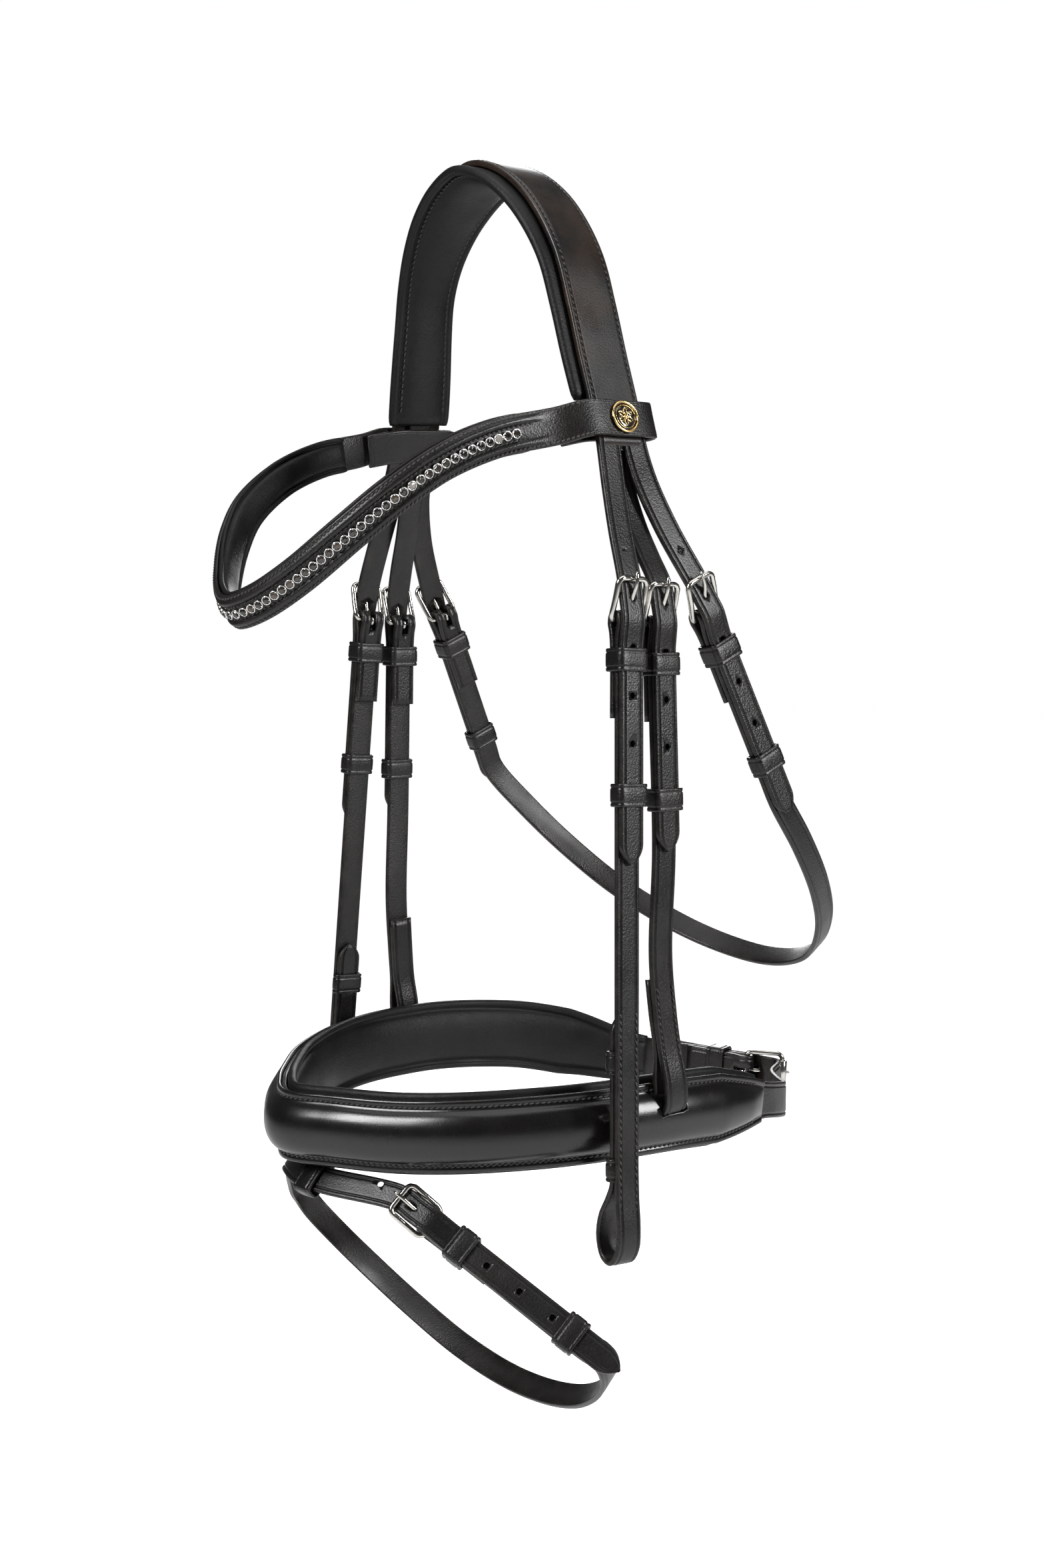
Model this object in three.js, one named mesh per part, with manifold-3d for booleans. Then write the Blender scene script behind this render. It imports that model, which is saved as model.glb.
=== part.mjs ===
// Snaffle bridle with a flash noseband. Units are millimetres, +Z is up, -Y is the brow and nose side,
// +X is the horse's left. The origin is on the underside of the crown, where it rests on the poll.
// Every strap is a flat ribbon swept along a route through a few points; pieces of the right side are
// mirror images of those of the left.
import * as THREE from 'three';
import { mergeVertices } from 'three/addons/utils/BufferGeometryUtils.js';
import Module from 'manifold-3d';

const wasm = await Module();
wasm.setup();

// ---- driving dimensions ----
const strapWidth = 12.4; // cheekpieces, hangers, throatlatch and flash strap
const leather = 2.6; // thickness of one layer of strap leather
const gap = 0.3; // left between pieces that touch
const wire = 1.3; // radius of a buckle frame's wire
const tongueWire = 1.1; // radius of a buckle tongue
const tongueLift = 8; // degrees that a tongue can rock in its billet hole
const frameLength = 17.5; // between a buckle's two bars
const frameLift = 6; // how far a buckle's outer bar stands out over its inner bar
const holePitch = 20.5; // between the punched holes of a billet
const holeRadius = 1.7;
const keeperLength = 10; // along the strap
const keeperWall = 1.3;
const layerOut = leather / 2 + gap; // height of the upper chape layer's middle over the line
const billetOut = layerOut + leather + gap; // height of a billet that lies on the chape
const billetPunch = billetOut + 1.5 * leather - 1.5; // set this high, a punch stops short of the layer below
const crownWidth = 27;
const crownLeather = 3;
const nosebandHeight = 32;
const chinWidth = 17;
const chinLift = frameLift + 1.8; // leaves room for the roller
const maxStep = 60; // between two stations of a strap

const vec = (x, y, z) => new THREE.Vector3(x, y, z);
const up = vec(0, 0, 1);
const toVectors = (rows, mirror) => rows.map(([x, y, z]) => vec(mirror ? -x : x, y, z));

const material = (color, roughness, metalness) =>
  new THREE.MeshStandardMaterial({ color, roughness, metalness });
const strapLeather = material(0x15120f, 0.42, 0);
const softLining = material(0x1d1c1b, 0.62, 0);
const nickel = material(0xc9c8c4, 0.22, 1);
const gilt = material(0xc8a04a, 0.28, 1);
const crystalChain = material(0xb8b8ba, 0.15, 0.9);

// ---- ribbons ----

const route = (points) => new THREE.CatmullRomCurve3(points, false, 'centripetal');

// How far the curve strays from the chord between two of its points.
function strayed(points, from, to) {
  const chord = new THREE.Line3(points[from], points[to]);
  const nearest = vec();
  let most = 0;
  for (let i = from + 1; i < to; i++) {
    chord.closestPointToPoint(points[i], true, nearest);
    most = Math.max(most, nearest.distanceTo(points[i]));
  }
  return most;
}

// Stations along a route: close together where it bends and at a rounded tip. The span is given
// as two places in the route's list of points.
function stations(curve, length, tip, span, tolerance) {
  const samples = 1200;
  const points = curve.getSpacedPoints(samples);
  const place = (i) => curve.getUtoTmapping(i / samples) * (curve.points.length - 1);
  const kept = [0];
  let last = 0;
  for (let i = 1; i < samples; i++) {
    const stray = strayed(points, last, i + 1);
    if (stray > tolerance || (i - last) * length > maxStep * samples) {
      kept.push(i / samples);
      last = i;
    }
  }
  const [first, final] = span.map((limit) => {
    let i = 0;
    while (i < samples && place(i) < limit) i++;
    return i / samples;
  });
  const tipStations = tip ? [1, 0.55, 0.22, 0].map((part) => 1 - (part * tip) / length) : [final];
  const clear = 0.8 / length;
  const between = kept.filter((u) => u > first + clear && u < tipStations[0] - clear);
  return [first, ...between, ...tipStations];
}

// The width direction at u, taken between the hints that belong to the route's points.
function hintAt(across, u, curve) {
  if (!Array.isArray(across)) return across.clone();
  const place = curve.getUtoTmapping(u) * (across.length - 1);
  const i = Math.min(Math.floor(place), across.length - 2);
  return across[i].clone().lerp(across[i + 1], place - i);
}

// Sweeps a flat or padded section along a route. heights(v, s) gives the inner and outer face at
// the share v (-0.5 to 0.5) of the width; width(s) is in mm and s is the length along the route.
function ribbon({ curve, across, width, heights, shift, tip = 0, split = 1, span, tolerance = 0.15 }) {
  curve.arcLengthDivisions = 900;
  const length = curve.getLength();
  const ends = span ?? [0, curve.points.length - 1];
  const at = stations(curve, length, tip, ends, tolerance);
  const spanned = (at[at.length - 1] - at[0]) * length;
  const steps = at.length - 1;
  const geometry = new THREE.BoxGeometry(1, 1, 1, steps, split, 1);
  const frames = at.map((u) => {
    const middle = curve.getPointAt(u);
    const along = curve.getTangentAt(u);
    const side = hintAt(across, u, curve);
    side.addScaledVector(along, -side.dot(along)).normalize();
    return { middle, side, out: vec().crossVectors(along, side), s: (u - at[0]) * length };
  });
  const position = geometry.attributes.position;
  for (let i = 0; i < position.count; i++) {
    const frame = frames[Math.round((position.getX(i) + 0.5) * steps)];
    const v = position.getY(i);
    const left = (spanned - frame.s) / tip;
    const rounding = tip && left < 1 ? Math.max(Math.sqrt(1 - (1 - left) ** 2), 0.22) : 1;
    const [inner, outer] = heights(v, frame.s, spanned);
    const point = frame.middle.clone();
    const sideways = shift ? shift(frame.s, spanned) : 0;
    point.addScaledVector(frame.side, v * width(frame.s, spanned) * rounding + sideways);
    point.addScaledVector(frame.out, position.getZ(i) < 0 ? inner : outer);
    position.setXYZ(i, point.x, point.y, point.z);
  }
  return bare(geometry);
}

const flat = (thickness) => () => [-thickness / 2, thickness / 2];

const strap = (points, across, options = {}) =>
  ribbon({
    curve: route(points),
    across,
    width: options.width ?? (() => strapWidth),
    heights: options.heights ?? flat(options.thickness ?? leather),
    ...options,
  });

// ---- solids ----

// Only positions, with shared vertices merged.
function bare(geometry) {
  const plain = geometry.clone();
  plain.deleteAttribute('normal');
  plain.deleteAttribute('uv');
  return mergeVertices(plain, 1e-4);
}

function solid(geometry) {
  const merged = bare(geometry);
  const mesh = new wasm.Mesh({
    numProp: 3,
    vertProperties: new Float32Array(merged.attributes.position.array),
    triVerts: new Uint32Array(merged.index.array),
  });
  return new wasm.Manifold(mesh);
}

function geometryOf(manifold) {
  const mesh = manifold.getMesh();
  const geometry = new THREE.BufferGeometry();
  geometry.setAttribute('position', new THREE.BufferAttribute(mesh.vertProperties, 3));
  geometry.setIndex(new THREE.BufferAttribute(mesh.triVerts, 1));
  return geometry;
}

const cut = (geometry, cutters) =>
  geometryOf(cutters.reduce((body, cutter) => body.subtract(solid(cutter)), solid(geometry)));

const join = (...geometries) =>
  geometryOf(geometries.slice(1).reduce((body, next) => body.add(solid(next)), solid(geometries[0])));

function mirrored(geometry) {
  const copy = bare(geometry);
  const position = copy.attributes.position;
  for (let i = 0; i < position.count; i++) position.setX(i, -position.getX(i));
  const index = copy.index;
  for (let i = 0; i < index.count; i += 3) {
    const first = index.getX(i);
    index.setX(i, index.getX(i + 1));
    index.setX(i + 1, first);
  }
  return copy;
}

// A straight line that a buckled strap follows: s runs down the strap from the buckle's inner bar,
// a runs across it and n stands out from it.
function strapLine(origin, down, across) {
  const along = down.clone().normalize();
  const side = across.clone().addScaledVector(along, -across.dot(along)).normalize();
  const out = vec().crossVectors(along, side);
  const at = (s, n, a = 0) =>
    origin.clone().addScaledVector(along, s).addScaledVector(out, n).addScaledVector(side, a);
  return { origin, along, side, out, at };
}

// A box in a line's own directions.
function boxOn(line, s, n, a, [sizeS, sizeN, sizeA]) {
  const box = new THREE.BoxGeometry(sizeS, sizeA, sizeN);
  const basis = new THREE.Matrix4().makeBasis(line.along, line.side, line.out);
  return box.applyMatrix4(basis.setPosition(line.at(s, n, a)));
}

// A six-sided punch through a strap at s.
function punch(line, s, n, radius = holeRadius) {
  const cylinder = new THREE.CylinderGeometry(radius, radius, 3 * leather, 6);
  const basis = new THREE.Matrix4().makeBasis(line.side, line.out, line.along);
  return cylinder.applyMatrix4(basis.setPosition(line.at(s, n)));
}

function tube(points, radius, steps, sides = 6) {
  const circle = new THREE.Shape();
  for (let i = 0; i < sides; i++) {
    const angle = (i / sides) * 2 * Math.PI;
    const corner = [radius * Math.cos(angle), radius * Math.sin(angle)];
    i ? circle.lineTo(...corner) : circle.moveTo(...corner);
  }
  return bare(new THREE.ExtrudeGeometry(circle, { steps, extrudePath: route(points) }));
}

// ---- buckles ----

// Wire frame with rounded corners. The inner bar lies at s = 0 and n = 0.
function buckleFrame(line, halfWidth, length = frameLength, lift = frameLift) {
  const corner = 2.4;
  const perCorner = 3;
  const count = 4 * perCorner;
  const ring = new THREE.TorusGeometry(1, 0.5, 5, count);
  const position = ring.attributes.position;
  for (let i = 0; i < position.count; i++) {
    const [x, y, z] = [position.getX(i), position.getY(i), position.getZ(i)];
    const turn = (Math.atan2(y, x) + 2 * Math.PI) / (2 * Math.PI);
    const index = Math.round(turn * count) % count;
    const quarter = Math.floor(index / perCorner);
    const angle = ((quarter + (index % perCorner) / (perCorner - 1)) * Math.PI) / 2;
    const towardsA = quarter === 0 || quarter === 3 ? 1 : -1;
    const towardsS = quarter < 2 ? 1 : -1;
    const radial = (Math.hypot(x, y) - 1) / 0.5;
    const [cos, sin] = [Math.cos(angle), Math.sin(angle)];
    const a = towardsA * (halfWidth - corner) + (corner + radial * wire) * cos;
    const middle = -length / 2 + towardsS * (length / 2 - corner) + corner * sin;
    const s = middle + radial * wire * sin;
    const n = (-z / 0.5) * wire - (lift * middle) / length;
    const point = line.at(s, n, a);
    position.setXYZ(i, point.x, point.y, point.z);
  }
  return bare(ring);
}

// The tongue's bent wire, turned by the given degrees about the inner bar.
function tongueWirePoints(line, degrees, length = frameLength, lift = frameLift) {
  const ringRadius = wire + gap + tongueWire;
  const rest = lift + wire + gap + tongueWire;
  const bend = [
    [-1.2, -ringRadius],
    [1.6, -ringRadius * 0.83],
    [ringRadius, 0],
    [1.6, ringRadius * 0.85],
    [-2, ringRadius + 0.25],
    [-length * 0.5, rest * 0.56],
    [-length * 0.85, rest * 0.93],
    [-length - 1.5, rest + 0.05],
    [-length - 3, rest - 0.5],
  ];
  const turn = THREE.MathUtils.degToRad(degrees);
  const [cos, sin] = [Math.cos(turn), Math.sin(turn)];
  return bend.map(([s, n]) => line.at(s * cos + n * sin, n * cos - s * sin));
}

const buckleTongue = (line, length, lift) =>
  tube(tongueWirePoints(line, 0, length, lift), tongueWire, 11, 5);

// What a billet needs cut away so that the tongue can stand and rock in its hole.
const tongueRoom = (line, length, lift) =>
  [0, tongueLift].map((degrees) => {
    const middle = tongueWirePoints(line, degrees, length, lift).slice(4, 7);
    return tube(middle, tongueWire + gap + 0.25, 3);
  });

const chapeSlot = (line) => boxOn(line, 0, 0, 0, [11, 12, 2 * tongueWire + 1.6]);

// Route of a strap end folded over the inner bar, from its sewn-down end to the outer layer.
function chapeRoute(line, foldLength) {
  const ring = wire + gap + leather / 2 + 0.25;
  const folded = [[foldLength, -layerOut], [12, -layerOut], [5, -layerOut - 0.6], [1, -ring]];
  const turned = [[-ring * 0.72, -ring * 0.72], [-ring, 0], [-ring * 0.72, ring * 0.72]];
  const outer = [[1, ring], [5, layerOut + 0.6], [10, layerOut]];
  return [...folded, ...turned, ...outer].map(([s, n]) => line.at(s, n));
}

// Route of a billet: under the outer bar, over the folded end and down the strap.
function billetRoute(line, end, lift = frameLift) {
  const low = lift - wire - gap - leather / 2;
  const over = wire + 2 * gap + 1.5 * leather + 0.3;
  const passing = [[-frameLength, low], [-frameLength / 2, (low + over) / 2 + 0.1], [-0.5, over]];
  const lying = [[5, billetOut + 0.9], [10, billetOut + 0.15], [16, billetOut], [end * 0.6, billetOut]];
  return [...passing, ...lying, [end, billetOut]].map(([s, n]) => line.at(s, n));
}

// A keeper: a band round the layers between the heights low and high.
function keeper(line, s, low, high, halfWidth = strapWidth / 2, length = keeperLength) {
  const [a, wall, chamfer] = [halfWidth + 0.4, keeperWall, 1.1];
  const [left, right] = [-a - wall, a + wall];
  const [bottom, top] = [low - gap - wall, high + gap + wall];
  const outline = new THREE.Shape();
  outline.moveTo(left + chamfer, bottom);
  outline.lineTo(right - chamfer, bottom);
  outline.lineTo(right, bottom + chamfer);
  outline.lineTo(right, top - chamfer);
  outline.lineTo(right - chamfer, top);
  outline.lineTo(left + chamfer, top);
  outline.lineTo(left, top - chamfer);
  outline.lineTo(left, bottom + chamfer);
  const room = new THREE.Path();
  room.moveTo(-a, low - gap);
  room.lineTo(a, low - gap);
  room.lineTo(a, high + gap);
  room.lineTo(-a, high + gap);
  outline.holes.push(room);
  const band = new THREE.ExtrudeGeometry(outline, { depth: length, bevelEnabled: false });
  const basis = new THREE.Matrix4().makeBasis(line.side, line.out, line.along);
  return bare(band.applyMatrix4(basis.setPosition(line.at(s - length / 2, 0))));
}

const chapeLow = -layerOut - leather / 2;
const billetHigh = billetOut + leather / 2;

const holesAt = (line, counts, height = billetOut) =>
  counts.map((count) => punch(line, (count - 0.42) * holePitch, height));

// ---- lines of the left side ----
const cheekLine = strapLine(vec(104, -3.5, -199), vec(13, -9.5, -201), vec(0, 1, 0));
const hangerLine = strapLine(vec(103, 15.2, -201), vec(4, 0.5, -105), vec(0, 1, 0));
const throatLine = strapLine(vec(104, 42, -197), vec(7, 38, -83), vec(0, 1, 0));
const flashLine = strapLine(vec(58.5, -74, -463), vec(0.745, 0.471, -0.55), vec(0, 0.69, 0.72));
const chinLine = strapLine(vec(-8, 171.5, -440), vec(-0.93, -0.37, 0.05), up);

// ---- crown, billets and sliphead ----
const crownSide = [
  [20, 0.6, 4.8],
  [37, 1.6, -6],
  [50, 3, -20],
  [60.5, 4.8, -38],
  [67.5, 6.3, -60],
  [73.5, 7.6, -82],
  [80, 9.2, -105],
];
const crownFoot = [85.3, 9.6, -123];
const crownHalf = [...crownSide, crownFoot];
const crownRoute = [...toVectors(crownHalf).reverse(), vec(0, 0, 10), ...toVectors(crownHalf, true)];
const crownLast = crownRoute.length - 1;

function crownStrap() {
  const trunk = strap(crownRoute, vec(0, -1, 0), { width: () => crownWidth, thickness: crownLeather });
  const shoulders = [vec(82.2, 2.6, -112), vec(85.6, 2.1, -124), vec(91.2, 0.6, -142), vec(98.6, -1.4, -162)];
  const cheekBillet = cut(
    strap([...shoulders, ...billetRoute(cheekLine, 105)], cheekLine.side, { tip: 9 }),
    [...tongueRoom(cheekLine), ...holesAt(cheekLine, [1, 2, 3])],
  );
  return join(trunk, cheekBillet, mirrored(cheekBillet));
}

// Its top is a half disc round the point that it swings about.
function throatBillet() {
  const top = [vec(87.3, 17.4, -129.2), vec(91.5, 18.8, -140), vec(98.8, 25, -160)];
  const points = [...top, ...billetRoute(throatLine, 99)];
  const along = route(points).getTangentAt(0);
  const side = throatLine.side.clone().addScaledVector(along, -throatLine.side.dot(along)).normalize();
  const basis = new THREE.Matrix4().makeBasis(side, vec().crossVectors(along, side), along);
  const disc = new THREE.CylinderGeometry(strapWidth / 2, strapWidth / 2, leather, 16);
  return cut(
    join(strap(points, throatLine.side, { tip: 9 }), disc.applyMatrix4(basis.setPosition(top[0]))),
    [...tongueRoom(throatLine), ...holesAt(throatLine, [1, 2, 3])],
  );
}

const slipheadTop = -crownLeather / 2 - gap;
const slipheadLeather = 2.4;

const sliphead = () =>
  strap(crownRoute, vec(0, -1, 0), { heights: () => [slipheadTop - slipheadLeather, slipheadTop] });

function nosebandBillet() {
  const top = [vec(81.7, 9.2, -124.8), vec(85.7, 9.9, -140), vec(92, 11.5, -157), vec(99.2, 13.2, -171)];
  return cut(
    strap([...top, ...billetRoute(hangerLine, 99)], hangerLine.side, { tip: 9 }),
    [...tongueRoom(hangerLine), ...holesAt(hangerLine, [1, 2, 3])],
  );
}

// Wide over the poll, cut back behind the ears, and ended above the browband.
function crownLining() {
  const top = slipheadTop - slipheadLeather - gap;
  const fromPoll = (s, length) => Math.abs(s / length - 0.5) * 2;
  const ears = (s, length) => Math.exp(-(((fromPoll(s, length) - 0.55) / 0.3) ** 2));
  const width = (s, length) => 42 - 9 * fromPoll(s, length) ** 1.5 - 8 * ears(s, length);
  const shift = (s, length) => 2.5 * ears(s, length) + 1;
  const heights = (v) => [top - 2 - 3.4 * Math.sqrt(Math.max(1 - (2 * v) ** 2, 0)), top];
  const span = [1.3, crownLast - 1.3];
  return strap(crownRoute, vec(0, -1, 0), { width, heights, shift, split: 4, span });
}

// ---- browband ----
const browHalf = [
  [15.5, -132.5, -191.5],
  [33, -123.5, -180.5],
  [51.5, -109.7, -163],
  [63.8, -95, -147.5],
  [70.5, -74, -132.5],
  [75, -50, -122],
  [80, -22, -115.5],
];
const browTilt = [
  [-0.08, -0.56, 0.8],
  [-0.16, -0.64, 0.75],
  [-0.04, -0.7, 0.7],
  [0.1, -0.58, 0.81],
  [0.14, -0.5, 0.85],
  [0.02, -0.3, 0.95],
  [-0.2, -0.12, 0.96],
];
const browWidth = 16.5;
const browLeather = 2.4;
const browGap = 0.55; // the band twists, so its layers keep further apart
const loopAcross = vec(-0.28, -0.03, 0.96);
const browLoop = [
  [85.2, -7, -111.3],
  [85.6, 9.5, -111],
  [85.4, 23, -110.8],
  [83.6, 27.6, -110.8],
  [79.8, 29.2, -111.2],
  [76.2, 27.4, -111.8],
  [75, 22, -112],
  [74.7, 9.5, -112.4],
  [74.8, -4, -113.2],
  [77.2, -20, -116.3],
];
const browRight = [...browHalf, ...browLoop];
const browAcrossRight = [...toVectors(browTilt), ...browLoop.map(() => loopAcross)];
const browRoute = [...toVectors(browRight, true).reverse(), vec(0, -136.5, -195.5), ...toVectors(browRight)];
const browAcross = [
  ...browAcrossRight.map(({ x, y, z }) => vec(-x, y, z)).reverse(),
  vec(0, -0.5, 0.87),
  ...browAcrossRight,
];
const browSpan = [browLoop.length + 1, browRoute.length - 2 - browLoop.length];
const crystalSpan = [browSpan[0] - 0.42, browSpan[1] + 0.42];

const browband = () => strap(browRoute, browAcross, { width: () => browWidth, thickness: browLeather });

function browbandLining() {
  const top = -browLeather / 2 - browGap;
  const heights = (v) => [top - 1.5 - 2.6 * Math.sqrt(Math.max(1 - (2 * v) ** 2, 0)), top];
  return strap(browRoute, browAcross, { width: () => browWidth - 0.5, heights, split: 2, span: browSpan });
}

function crystalRow() {
  const heights = () => [browLeather / 2 + browGap, browLeather / 2 + 2.9];
  return strap(browRoute, browAcross, { width: () => 4.4, heights, span: crystalSpan });
}

function badge() {
  const disc = new THREE.CylinderGeometry(6.6, 6.9, 1.6, 16);
  const out = vec(0.96, 0, 0.27).normalize();
  const turn = new THREE.Quaternion().setFromUnitVectors(vec(0, 1, 0), out);
  const place = vec(...browLoop[1]).addScaledVector(out, browLeather / 2 + gap + 0.9);
  return bare(disc.applyQuaternion(turn).translate(place.x, place.y, place.z));
}

// ---- cheekpieces ----
const bitKeepers = [190, 236];
const studAt = 214;
const bitLoop = [
  [236, 1.6],
  [250, 2.1],
  [261, 3],
  [269.5, 2.4],
  [275, -0.8],
  [276.4, -4.2],
  [274, -8.6],
  [266, -11.2],
  [257, -9.6],
  [249, -4.8],
  [243, -1.9],
  [236, -1.6],
];

function cheekpiece() {
  const down = [40, 80, 160, 215].map((s) => cheekLine.at(s, layerOut));
  const loop = bitLoop.map(([s, n]) => cheekLine.at(s, n));
  const back = [200, 169].map((s) => cheekLine.at(s, -layerOut));
  const whole = strap([...chapeRoute(cheekLine, 42), ...down, ...loop, ...back], cheekLine.side, { tip: 8 });
  return cut(whole, [chapeSlot(cheekLine), punch(cheekLine, studAt, -layerOut - 1.6, 2.3)]);
}

// A band round the turned-up end whose two ends are sewn in behind the cheekpiece.
function bitKeeper(s) {
  const whole = keeper(cheekLine, s, chapeLow, -gap);
  const behind = boxOn(cheekLine, s, keeperWall - gap, 0, [2 * keeperLength, 2 * keeperWall, 2 * strapWidth]);
  return cut(whole, [behind]);
}

// The hook stud that the turned-up end is hooked on.
function hookStud() {
  const profile = [[0, 0], [1.7, 0], [1.7, -3.2], [3.4, -3.4], [3.4, -4.2], [2, -5.4], [0, -5.6]];
  const turned = profile.reverse().map(([x, y]) => new THREE.Vector2(x, y));
  const stud = new THREE.LatheGeometry(turned, 10);
  const basis = new THREE.Matrix4().makeBasis(cheekLine.side, cheekLine.out, cheekLine.along);
  return bare(stud.applyMatrix4(basis.setPosition(cheekLine.at(studAt, 0))));
}

// ---- noseband ----
const ringHalf = [
  [22, -101.5, -424],
  [46, -85, -424],
  [68, -65.5, -422.5],
  [88, -37, -420.5],
  [97.5, -13, -419.5],
  [101.5, 12, -419.2],
  [102.5, 34, -419.5],
  [100.5, 60, -421.2],
  [93.5, 86, -424],
];
const chinHalf = [
  [80, 113, -430],
  [61, 134, -436],
];
const nosebandLeather = 2.4;
const chinRear = [
  [38, 151, -440],
  [22, 162.5, -441],
];
const nosebandRoute = [
  ...chapeRoute(chinLine, 34),
  chinLine.at(30, layerOut),
  ...toVectors([...ringHalf, ...chinHalf], true).reverse(),
  vec(0, -111, -424.5),
  ...toVectors([...ringHalf, ...chinHalf, ...chinRear]),
  ...billetRoute(chinLine, 62, frameLift - 0.2),
];
// The padding reaches further round on the right, up to the chin buckle's folded end.
const padStart = chapeRoute(chinLine, 34).length + 0.75;
const padSpan = [padStart, 13 + 2 * ringHalf.length];

function nosebandStrap() {
  const width = (s, length) => {
    const widening = THREE.MathUtils.clamp(Math.min((s - 85) / 50, (length - 200 - s) / 130), 0, 1);
    return THREE.MathUtils.lerp(chinWidth, 30, widening);
  };
  const whole = strap(nosebandRoute, up, { width, thickness: nosebandLeather, tip: 11 });
  const holes = holesAt(chinLine, [1, 2], billetPunch);
  return cut(whole, [chapeSlot(chinLine), ...tongueRoom(chinLine, frameLength, chinLift + 1.3), ...holes]);
}

const padEnds = (s, length) => Math.min(1, 0.42 + Math.min(s / 80, (length - s) / 60));

function nosebandRoll(hangers) {
  const low = nosebandLeather / 2 + gap;
  const heights = (v, s, length) => {
    const crown = Math.sqrt(Math.max(1 - (2.35 * v) ** 2, 0));
    return [low, low + 2.2 + 5.6 * crown * padEnds(s, length)];
  };
  const width = (s, length) => nosebandHeight * padEnds(s, length) ** 0.55;
  return cut(strap(nosebandRoute, up, { width, heights, split: 6, span: padSpan }), hangers);
}

function nosebandLining() {
  const top = -nosebandLeather / 2 - gap;
  const heights = (v, s, length) => {
    const crown = Math.sqrt(Math.max(1 - (2 * v) ** 2, 0));
    return [top - 2.4 - 4.6 * crown * padEnds(s, length), top];
  };
  const width = (s, length) => (nosebandHeight + 1) * padEnds(s, length) ** 0.55;
  return strap(nosebandRoute, up, { width, heights, split: 4, span: padSpan });
}

// The hanger passes down over the roll, through its slot and back up behind it.
const hangerFoot = [
  vec(108.2, 14.2, -345),
  vec(109.2, 16.2, -372),
  vec(110.4, 18, -388),
  vec(112.9, 19.4, -403),
  vec(112.4, 20, -412),
  vec(109.6, 20, -415.8),
  vec(106.6, 19.8, -412.5),
  vec(105.3, 19.4, -403),
  vec(107, 18, -388),
  vec(106, 16.2, -372),
  vec(105.1, 14.8, -356),
];
const hangerAcross = vec(0, 1, 0.06);
const hangerStart = [...chapeRoute(hangerLine, 42), hangerLine.at(40, layerOut), hangerLine.at(98, layerOut)];

const hanger = () => cut(strap([...hangerStart, ...hangerFoot], hangerAcross), [chapeSlot(hangerLine)]);

const hangerRoom = () =>
  strap([...hangerStart, ...hangerFoot], hangerAcross, {
    width: () => strapWidth + 2 * gap + 0.4,
    thickness: leather + 2 * gap + 0.1,
    span: [hangerStart.length, hangerStart.length + hangerFoot.length - 1.5],
  });

function chinRoller() {
  const [inner, outer, half] = [wire + 0.35, wire + 1.3, 7];
  const profile = [[inner, -half], [outer, -half], [outer, half], [inner, half], [inner, -half]];
  const sleeve = new THREE.LatheGeometry(profile.map(([x, y]) => new THREE.Vector2(x, y)), 12);
  const basis = new THREE.Matrix4().makeBasis(chinLine.along, chinLine.side, chinLine.out);
  return bare(sleeve.applyMatrix4(basis.setPosition(chinLine.at(-frameLength, chinLift))));
}

// ---- throatlatch ----
function throatlatch() {
  const down = [40, 80, 91].map((s) => throatLine.at(s, layerOut));
  const round = [vec(107.6, 99.5, -301.5), vec(97, 121.5, -325), vec(79, 142.5, -347), vec(45, 165, -368)];
  const sideways = vec(0, 0.81, 0.59);
  const half = [...chapeRoute(throatLine, 40), ...down, ...round];
  const other = half.map((point) => point.clone().setX(-point.x)).reverse();
  const lean = half.map((_, i) => throatLine.side.clone().lerp(sideways, THREE.MathUtils.smoothstep(i, 11, 15)));
  const leanOther = lean.map((side) => side.clone().setX(-side.x)).reverse();
  const whole = strap([...half, vec(0, 175, -376.5), ...other], [...lean, sideways, ...leanOther]);
  return cut(whole, [chapeSlot(throatLine), mirrored(chapeSlot(throatLine))]);
}

// ---- flash strap ----
const flashBack = [
  [122.5, -29.5, -512.5],
  [118, -21.5, -522],
  [103, -12.5, -536],
  [80, -6, -549.5],
  [50, -1.5, -558.8],
  [14, 0, -562.5],
  [-22, -3.3, -557.5],
  [-56, -9, -546],
  [-85, -15, -533.3],
  [-104, -23.5, -519.5],
  [-113, -34, -505],
];
const flashFront = [
  [-110, -42, -495],
  [-95, -53.5, -485],
  [-76, -66, -472],
  [-56, -78, -461],
  [-35, -91, -451.5],
  [-16, -101, -447.5],
  [0, -105, -448],
  [16, -102.1, -448.6],
];
const flashAcross = vec(0, 0.69, 0.72);

const flashHoles = [[-46, -6], [-29, -1], [31, billetPunch], [49, billetPunch], [67, billetPunch]];

function flashStrap() {
  const start = [...chapeRoute(flashLine, 34), flashLine.at(36, layerOut), flashLine.at(86, layerOut)];
  const round = toVectors([...flashBack, ...flashFront]);
  const whole = strap([...start, ...round, ...billetRoute(flashLine, 103)], flashAcross, { tip: 9 });
  const holes = flashHoles.map(([s, n]) => punch(flashLine, s, n));
  return cut(whole, [chapeSlot(flashLine), ...tongueRoom(flashLine), ...holes]);
}

const tabLine = strapLine(vec(8, -103.9, -448.3), vec(14, 2.5, -0.5), flashAcross);

// The loop under the noseband that carries the flash strap.
function flashTab() {
  const band = keeper(tabLine, 0, -leather / 2 - 0.9, leather / 2 + 0.9, strapWidth / 2 + 0.8, 11);
  return band;
}

// ---- the bridle ----
const bridle = new THREE.Group();
bridle.name = 'snaffle_bridle';

function add(name, geometry, finish) {
  const mesh = new THREE.Mesh(geometry, finish);
  mesh.name = name;
  bridle.add(mesh);
}

function addPair(name, geometry, finish) {
  add(`${name}_left`, geometry, finish);
  add(`${name}_right`, mirrored(geometry), finish);
}

const frameHalf = strapWidth / 2 + 0.2 + wire;
const chinHalfWidth = chinWidth / 2 + 0.5 + wire;

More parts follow.
